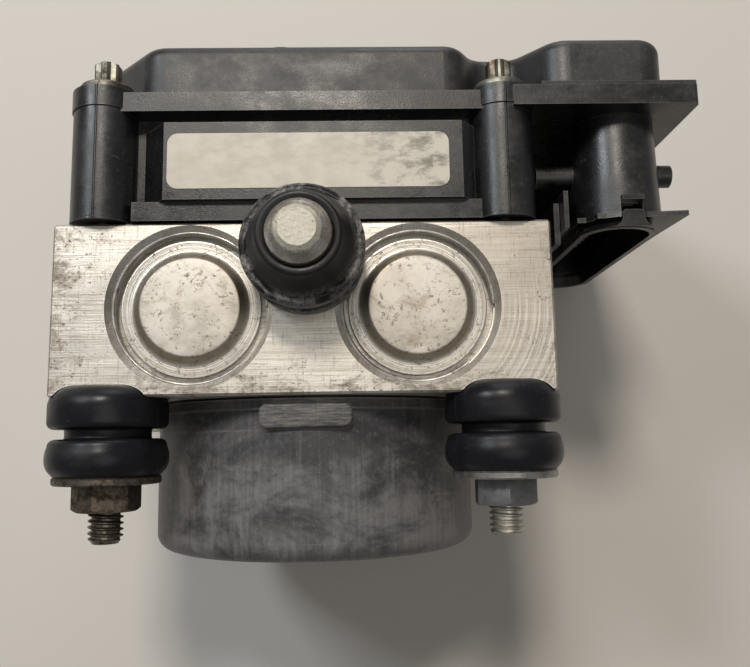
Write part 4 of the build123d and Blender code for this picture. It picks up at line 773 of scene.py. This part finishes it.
# ---------------------------------------------------------------- accumulator lids
def lid_outline():
    """A brim with turning rings, a soft slope and a flat crown, hollow below."""
    edge, brim, hollow, crown, middle_hole = 11.82, 1.1, 7.2, 2.6, 0.4
    outline = [(1.5, middle_hole), (1.5, hollow), (0.0, hollow), (0.0, edge - 0.12), (0.12, edge)]
    outline += [(0.95, edge), (1.08, edge - 0.12)]
    for ring in (11.35, 10.95, 10.5):
        outline += [(brim, ring + 0.1), (brim - 0.05, ring + 0.04)]
        outline += [(brim - 0.05, ring - 0.04), (brim, ring - 0.1)]
    outline += [(brim, 10.2), (1.12, 9.95), (1.2, 9.72), (1.34, 9.55), (2.16, 8.76)]
    outline += rounding(crown - 0.65, 8.12, 0.65, 52, 0, 8)[1:]
    return outline + [(crown, 7.4), (crown, middle_hole)]


for node in ("accumulator_cover_left", "accumulator_cover_right"):
    low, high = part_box(node)
    start = ((low.x + high.x) / 2, (low.y + high.y) / 2, low.z)
    lid = turned("lid_" + node, start, UP, lid_outline(), sides=128, capped=True)
    settle(lid, node, angle=30.0)

# ---------------------------------------------------------------- nuts and studs
stud_radius = 2.9
studs_low, studs_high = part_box("isolator_studs")
stud_x = studs_high.x - stud_radius * MM


def hexagon_nut(side, turn):
    """A nut chamfered at its free end, and turned by the angle in degrees at which it was left."""
    height, corner, bore = 4.5, 5.66, 2.95
    start = (side * stud_x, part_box("isolator_nuts")[1].y, isolator_z)
    bpy.ops.object.select_all(action="DESELECT")
    bpy.ops.mesh.primitive_cylinder_add(
        vertices=6,
        radius=corner * MM,
        depth=height * MM,
        location=step_along(start, TO_MOTOR, height / 2),
        rotation=(math.pi / 2, math.radians(-turn), 0.0),
    )
    nut = bpy.context.object
    set_in_place(nut)
    bpy.ops.object.mode_set(mode="EDIT")
    bpy.ops.mesh.select_all(action="SELECT")
    bpy.ops.mesh.bevel(offset=0.12 * MM, segments=2, affect="EDGES")
    bpy.ops.object.mode_set(mode="OBJECT")
    outline = [(-0.1, bore), (-0.1, 5.9), (height - 0.75, 5.9), (height - 0.15, 5.1)]
    outline += [(height - 0.01, 4.8), (height - 0.01, 3.45), (height - 0.4, bore), (-0.1, bore)]
    keep_inside(nut, turned("nut_blank", start, TO_MOTOR, outline, sides=72))
    return nut


def threaded_stud(side):
    """A mounting stud, cut with a 1 mm thread and pointed at its end."""
    root = 2.32
    turns = 42
    run_out = 2.0
    # one turn's flank, root and crest, as steps along the stud and outwards that add up to its pitch
    tooth = [(-0.22, 0.0), (-0.18, 0.42), (-0.1, 0.13), (-0.1, 0.0)]
    tooth += [(-0.1, -0.13), (-0.18, -0.42), (-0.12, 0.0)]
    start = (side * stud_x, studs_high.y + run_out * MM, isolator_z)
    bpy.ops.object.select_all(action="DESELECT")
    bpy.ops.mesh.primitive_plane_add(size=0.001, location=start)
    stud = bpy.context.object
    bpy.ops.object.mode_set(mode="EDIT")
    bpy.ops.mesh.select_all(action="SELECT")
    bpy.ops.mesh.merge(type="CENTER")
    bpy.ops.transform.translate(value=(0.0, 0.0, root * MM))
    for along, outwards in tooth:
        step = (0.0, along * MM, outwards * MM)
        bpy.ops.mesh.extrude_vertices_move(TRANSFORM_OT_translate={"value": step})
    bpy.ops.object.mode_set(mode="OBJECT")
    thread = stud.modifiers.new("thread", "SCREW")
    thread.axis = "Y"
    thread.screw_offset = sum(along for along, outwards in tooth) * MM
    thread.iterations = turns
    thread.steps = thread.render_steps = 40
    thread.use_merge_vertices = True
    thread.merge_threshold = 0.00001
    finish_modifier(stud, thread)
    set_in_place(stud)
    bpy.ops.object.mode_set(mode="EDIT")
    for cut, facing in ((studs_high.y - 0.2 * MM, TO_UNIT), (studs_low.y, TO_MOTOR)):
        bpy.ops.mesh.select_all(action="SELECT")
        bpy.ops.mesh.remove_doubles(threshold=0.00001)
        place = (start[0], cut, start[2])
        bpy.ops.mesh.bisect(plane_co=place, plane_no=facing, use_fill=True, clear_outer=True)
    bpy.ops.mesh.select_all(action="SELECT")
    bpy.ops.mesh.normals_make_consistent(inside=False)
    bpy.ops.object.mode_set(mode="OBJECT")
    tip = (start[0], studs_low.y, start[2])
    pointed = [(-0.02, 2.05), (0.95, 2.87), (34.0, 2.87), (35.9, 1.9)]
    keep_inside(stud, turned("stud_blank", tip, TO_UNIT, pointed, sides=80, capped=True))
    return stud


join_as("hexagon_nuts", [hexagon_nut(-1, 6.0), hexagon_nut(1, 3.5)], "isolator_nuts", 30.0)
join_as("threaded_studs", [threaded_stud(side) for side in (-1, 1)], "isolator_studs", 30.0)

# ---------------------------------------------------------------- control unit screws
screw_head = 6.1


def lobed_screw(x, z):
    """A plain shank, a dished flange, and a head of six lobes with a hollow end."""
    head_radius, head_foot = 2.35, 1.2
    start = (x, screws_high.y - screw_head * MM, z)
    shank_end = (screws_low.y - start[1]) / MM
    outline = [(shank_end, 1.5), (shank_end + 0.5, 2.0), (0.0, 2.0)]
    outline += [(0.0, 4.4), (0.15, 4.6), (1.2, 4.65), (1.45, 4.5)]
    outline += [(1.6, 4.1), (1.85, 3.2), (2.1, 2.6), (2.2, 1.6)]
    body = turned("screw_body", start, TO_UNIT, outline, sides=64, capped=True)
    lobes = 6
    bpy.ops.object.select_all(action="DESELECT")
    bpy.ops.mesh.primitive_cylinder_add(
        vertices=6 * lobes,
        radius=head_radius * MM,
        depth=(screw_head - head_foot) * MM,
        location=step_along(start, TO_UNIT, (screw_head + head_foot) / 2),
        rotation=(math.pi / 2, 0.0, 0.0),
    )
    head = bpy.context.object
    set_in_place(head)
    # a primitive's points go round it in pairs, low and high, six pairs to each lobe
    for place, drawn_in in ((1, 0.96), (2, 0.83), (3, 0.74), (4, 0.83), (5, 0.96)):
        resize_points(head, lambda point: point.index // 2 % 6 == place, (drawn_in, 1.0, drawn_in), start)
    hollow = [(1.1, 2.8), (5.5, 2.6), (5.85, 2.25)]
    hollow += [(screw_head, 1.85), (screw_head, 1.15), (5.9, 0.95), (5.0, 0.8)]
    keep_inside(head, turned("head_blank", start, TO_UNIT, hollow, sides=48, capped=True))
    return [body, head]


screw_parts = []
for x in (screws_low.x + cad_flange_radius, screws_high.x - cad_flange_radius):
    for z in (screws_low.z + cad_flange_radius, screws_high.z - cad_flange_radius):
        screw_parts += lobed_screw(x, z)
join_as("lobed_screws", screw_parts, "control_unit_screws", 32.0)


# ---------------------------------------------------------------- return springs
joints = {joint["name"]: joint for joint in frame["joints"]}


def coil_spring(node, wire, joint_name):
    """A coiled spring wound along its piston's slide, at its resting length."""
    turns = 4
    joint = joints[joint_name]
    out = joint["axis"]
    low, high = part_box(node)
    axis = "Z" if out[2] else "X"
    length = sum(abs(d) * (h - l) for d, h, l in zip(out, high, low))
    centre = (low + high) / 2
    near_seat = [c - d * length / 2 for c, d in zip(centre, out)]
    start = [s + d * wire for s, d in zip(near_seat, out)]
    coil_radius = (high.y - low.y) / 2 - wire
    bpy.ops.object.select_all(action="DESELECT")
    bpy.ops.mesh.primitive_circle_add(vertices=14, radius=wire, location=start)
    spring = bpy.context.object
    bpy.ops.object.mode_set(mode="EDIT")
    bpy.ops.mesh.select_all(action="SELECT")
    if axis == "Z":
        bpy.ops.transform.rotate(value=math.pi / 2, orient_axis="Y", center_override=start)
    bpy.ops.transform.translate(value=(0.0, coil_radius, 0.0))
    bpy.ops.object.mode_set(mode="OBJECT")
    coil = spring.modifiers.new("coil", "SCREW")
    coil.axis = axis
    coil.screw_offset = sum(out) * (length - 2 * wire) / turns
    coil.iterations = turns
    coil.steps = coil.render_steps = 40
    finish_modifier(spring, coil)
    set_in_place(spring)
    bpy.ops.object.mode_set(mode="EDIT")
    close_up(0.000001)
    spring.name = spring.data.name = "coiled_" + node
    settle(spring, node, angle=50.0)
    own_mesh(spring)


for hand in ("left", "right"):
    coil_spring("accumulator_spring_" + hand, 0.7 * MM, "accumulator_slide_" + hand)
    coil_spring("pump_spring_" + hand, 0.35 * MM, "pump_slide_" + hand)

# ---------------------------------------------------------------- bench, lamps, room and camera
bench_finish = new_finish("pale bench", (0.84, 0.80, 0.745), 0.6, specular=0.2)
bpy.ops.mesh.primitive_plane_add(size=4.0, location=(0.0, 0.0, 0.0))
bench = bpy.context.object
bench.name = "bench"
bench.data.materials.append(bench_finish)


def lamp(name, place, size, power, colour, aim_height=0.04):
    """A square lamp that looks at the module's middle, at a height above the bench."""
    light = bpy.data.lights.new(name, "AREA")
    light.shape = "SQUARE"
    light.size = size
    light.energy = power
    light.color = colour
    stand = bpy.data.objects.new(name, light)
    bpy.context.collection.objects.link(stand)
    stand.location = place
    x, y, z = -place[0], -place[1], aim_height - place[2]
    stand.rotation_euler = (math.atan2(math.hypot(x, y), -z), 0.0, math.atan2(y, x) - math.pi / 2)


lamp("window lamp", (-0.62, 0.50, 0.80), 0.24, 3.35, (0.88, 0.94, 1.0))
lamp("ceiling lamp", (-0.08, 0.52, 0.86), 0.18, 3.9, (1.0, 0.92, 0.82))
lamp("soft overhead lamp", (0.16, -0.12, 0.95), 0.60, 1.0, (1.0, 0.96, 0.90))
lamp("low back lamp", (0.05, 0.75, 0.22), 0.35, 1.0, (0.96, 0.97, 1.0), aim_height=0.06)


def light_room(everywhere, in_shine, in_view):
    """The room lights faintly, shows brighter in what is shiny, and stands pale behind the bench."""
    room = bpy.context.scene.world or bpy.data.worlds.new("room")
    bpy.context.scene.world = room
    room.use_nodes = True
    glow = room.node_tree.nodes["Background"]
    glow.inputs["Color"].default_value = (0.97, 0.98, 1.0, 1.0)
    path = room.node_tree.nodes.new("ShaderNodeLightPath")
    strength = everywhere
    for ray, share in (("Is Glossy Ray", in_shine), ("Is Camera Ray", in_view)):
        brighter = room.node_tree.nodes.new("ShaderNodeMath")
        brighter.operation = "MULTIPLY_ADD"
        room.node_tree.links.new(path.outputs[ray], brighter.inputs[0])
        feed(room, share, brighter.inputs[1])
        feed(room, strength, brighter.inputs[2])
        strength = brighter.outputs[0]
    feed(room, strength, glow.inputs["Strength"])


light_room(0.045, 0.19, 0.55)

# the camera looks down on the accumulator face, a little from the motor's side
camera_data = bpy.data.cameras.new("bench camera")
camera_data.sensor_width = 36.0
camera_data.lens = 36.24
camera_data.clip_start = 0.005
camera = bpy.data.objects.new("bench camera", camera_data)
bpy.context.collection.objects.link(camera)
camera.rotation_mode = "ZYX"
camera.location = (0.00926, -0.02227, 0.19410)
camera.rotation_euler = (math.radians(8.05), math.radians(-1.15), math.radians(-0.80))
bpy.context.scene.camera = camera
bpy.context.scene.view_settings.view_transform = "Standard"
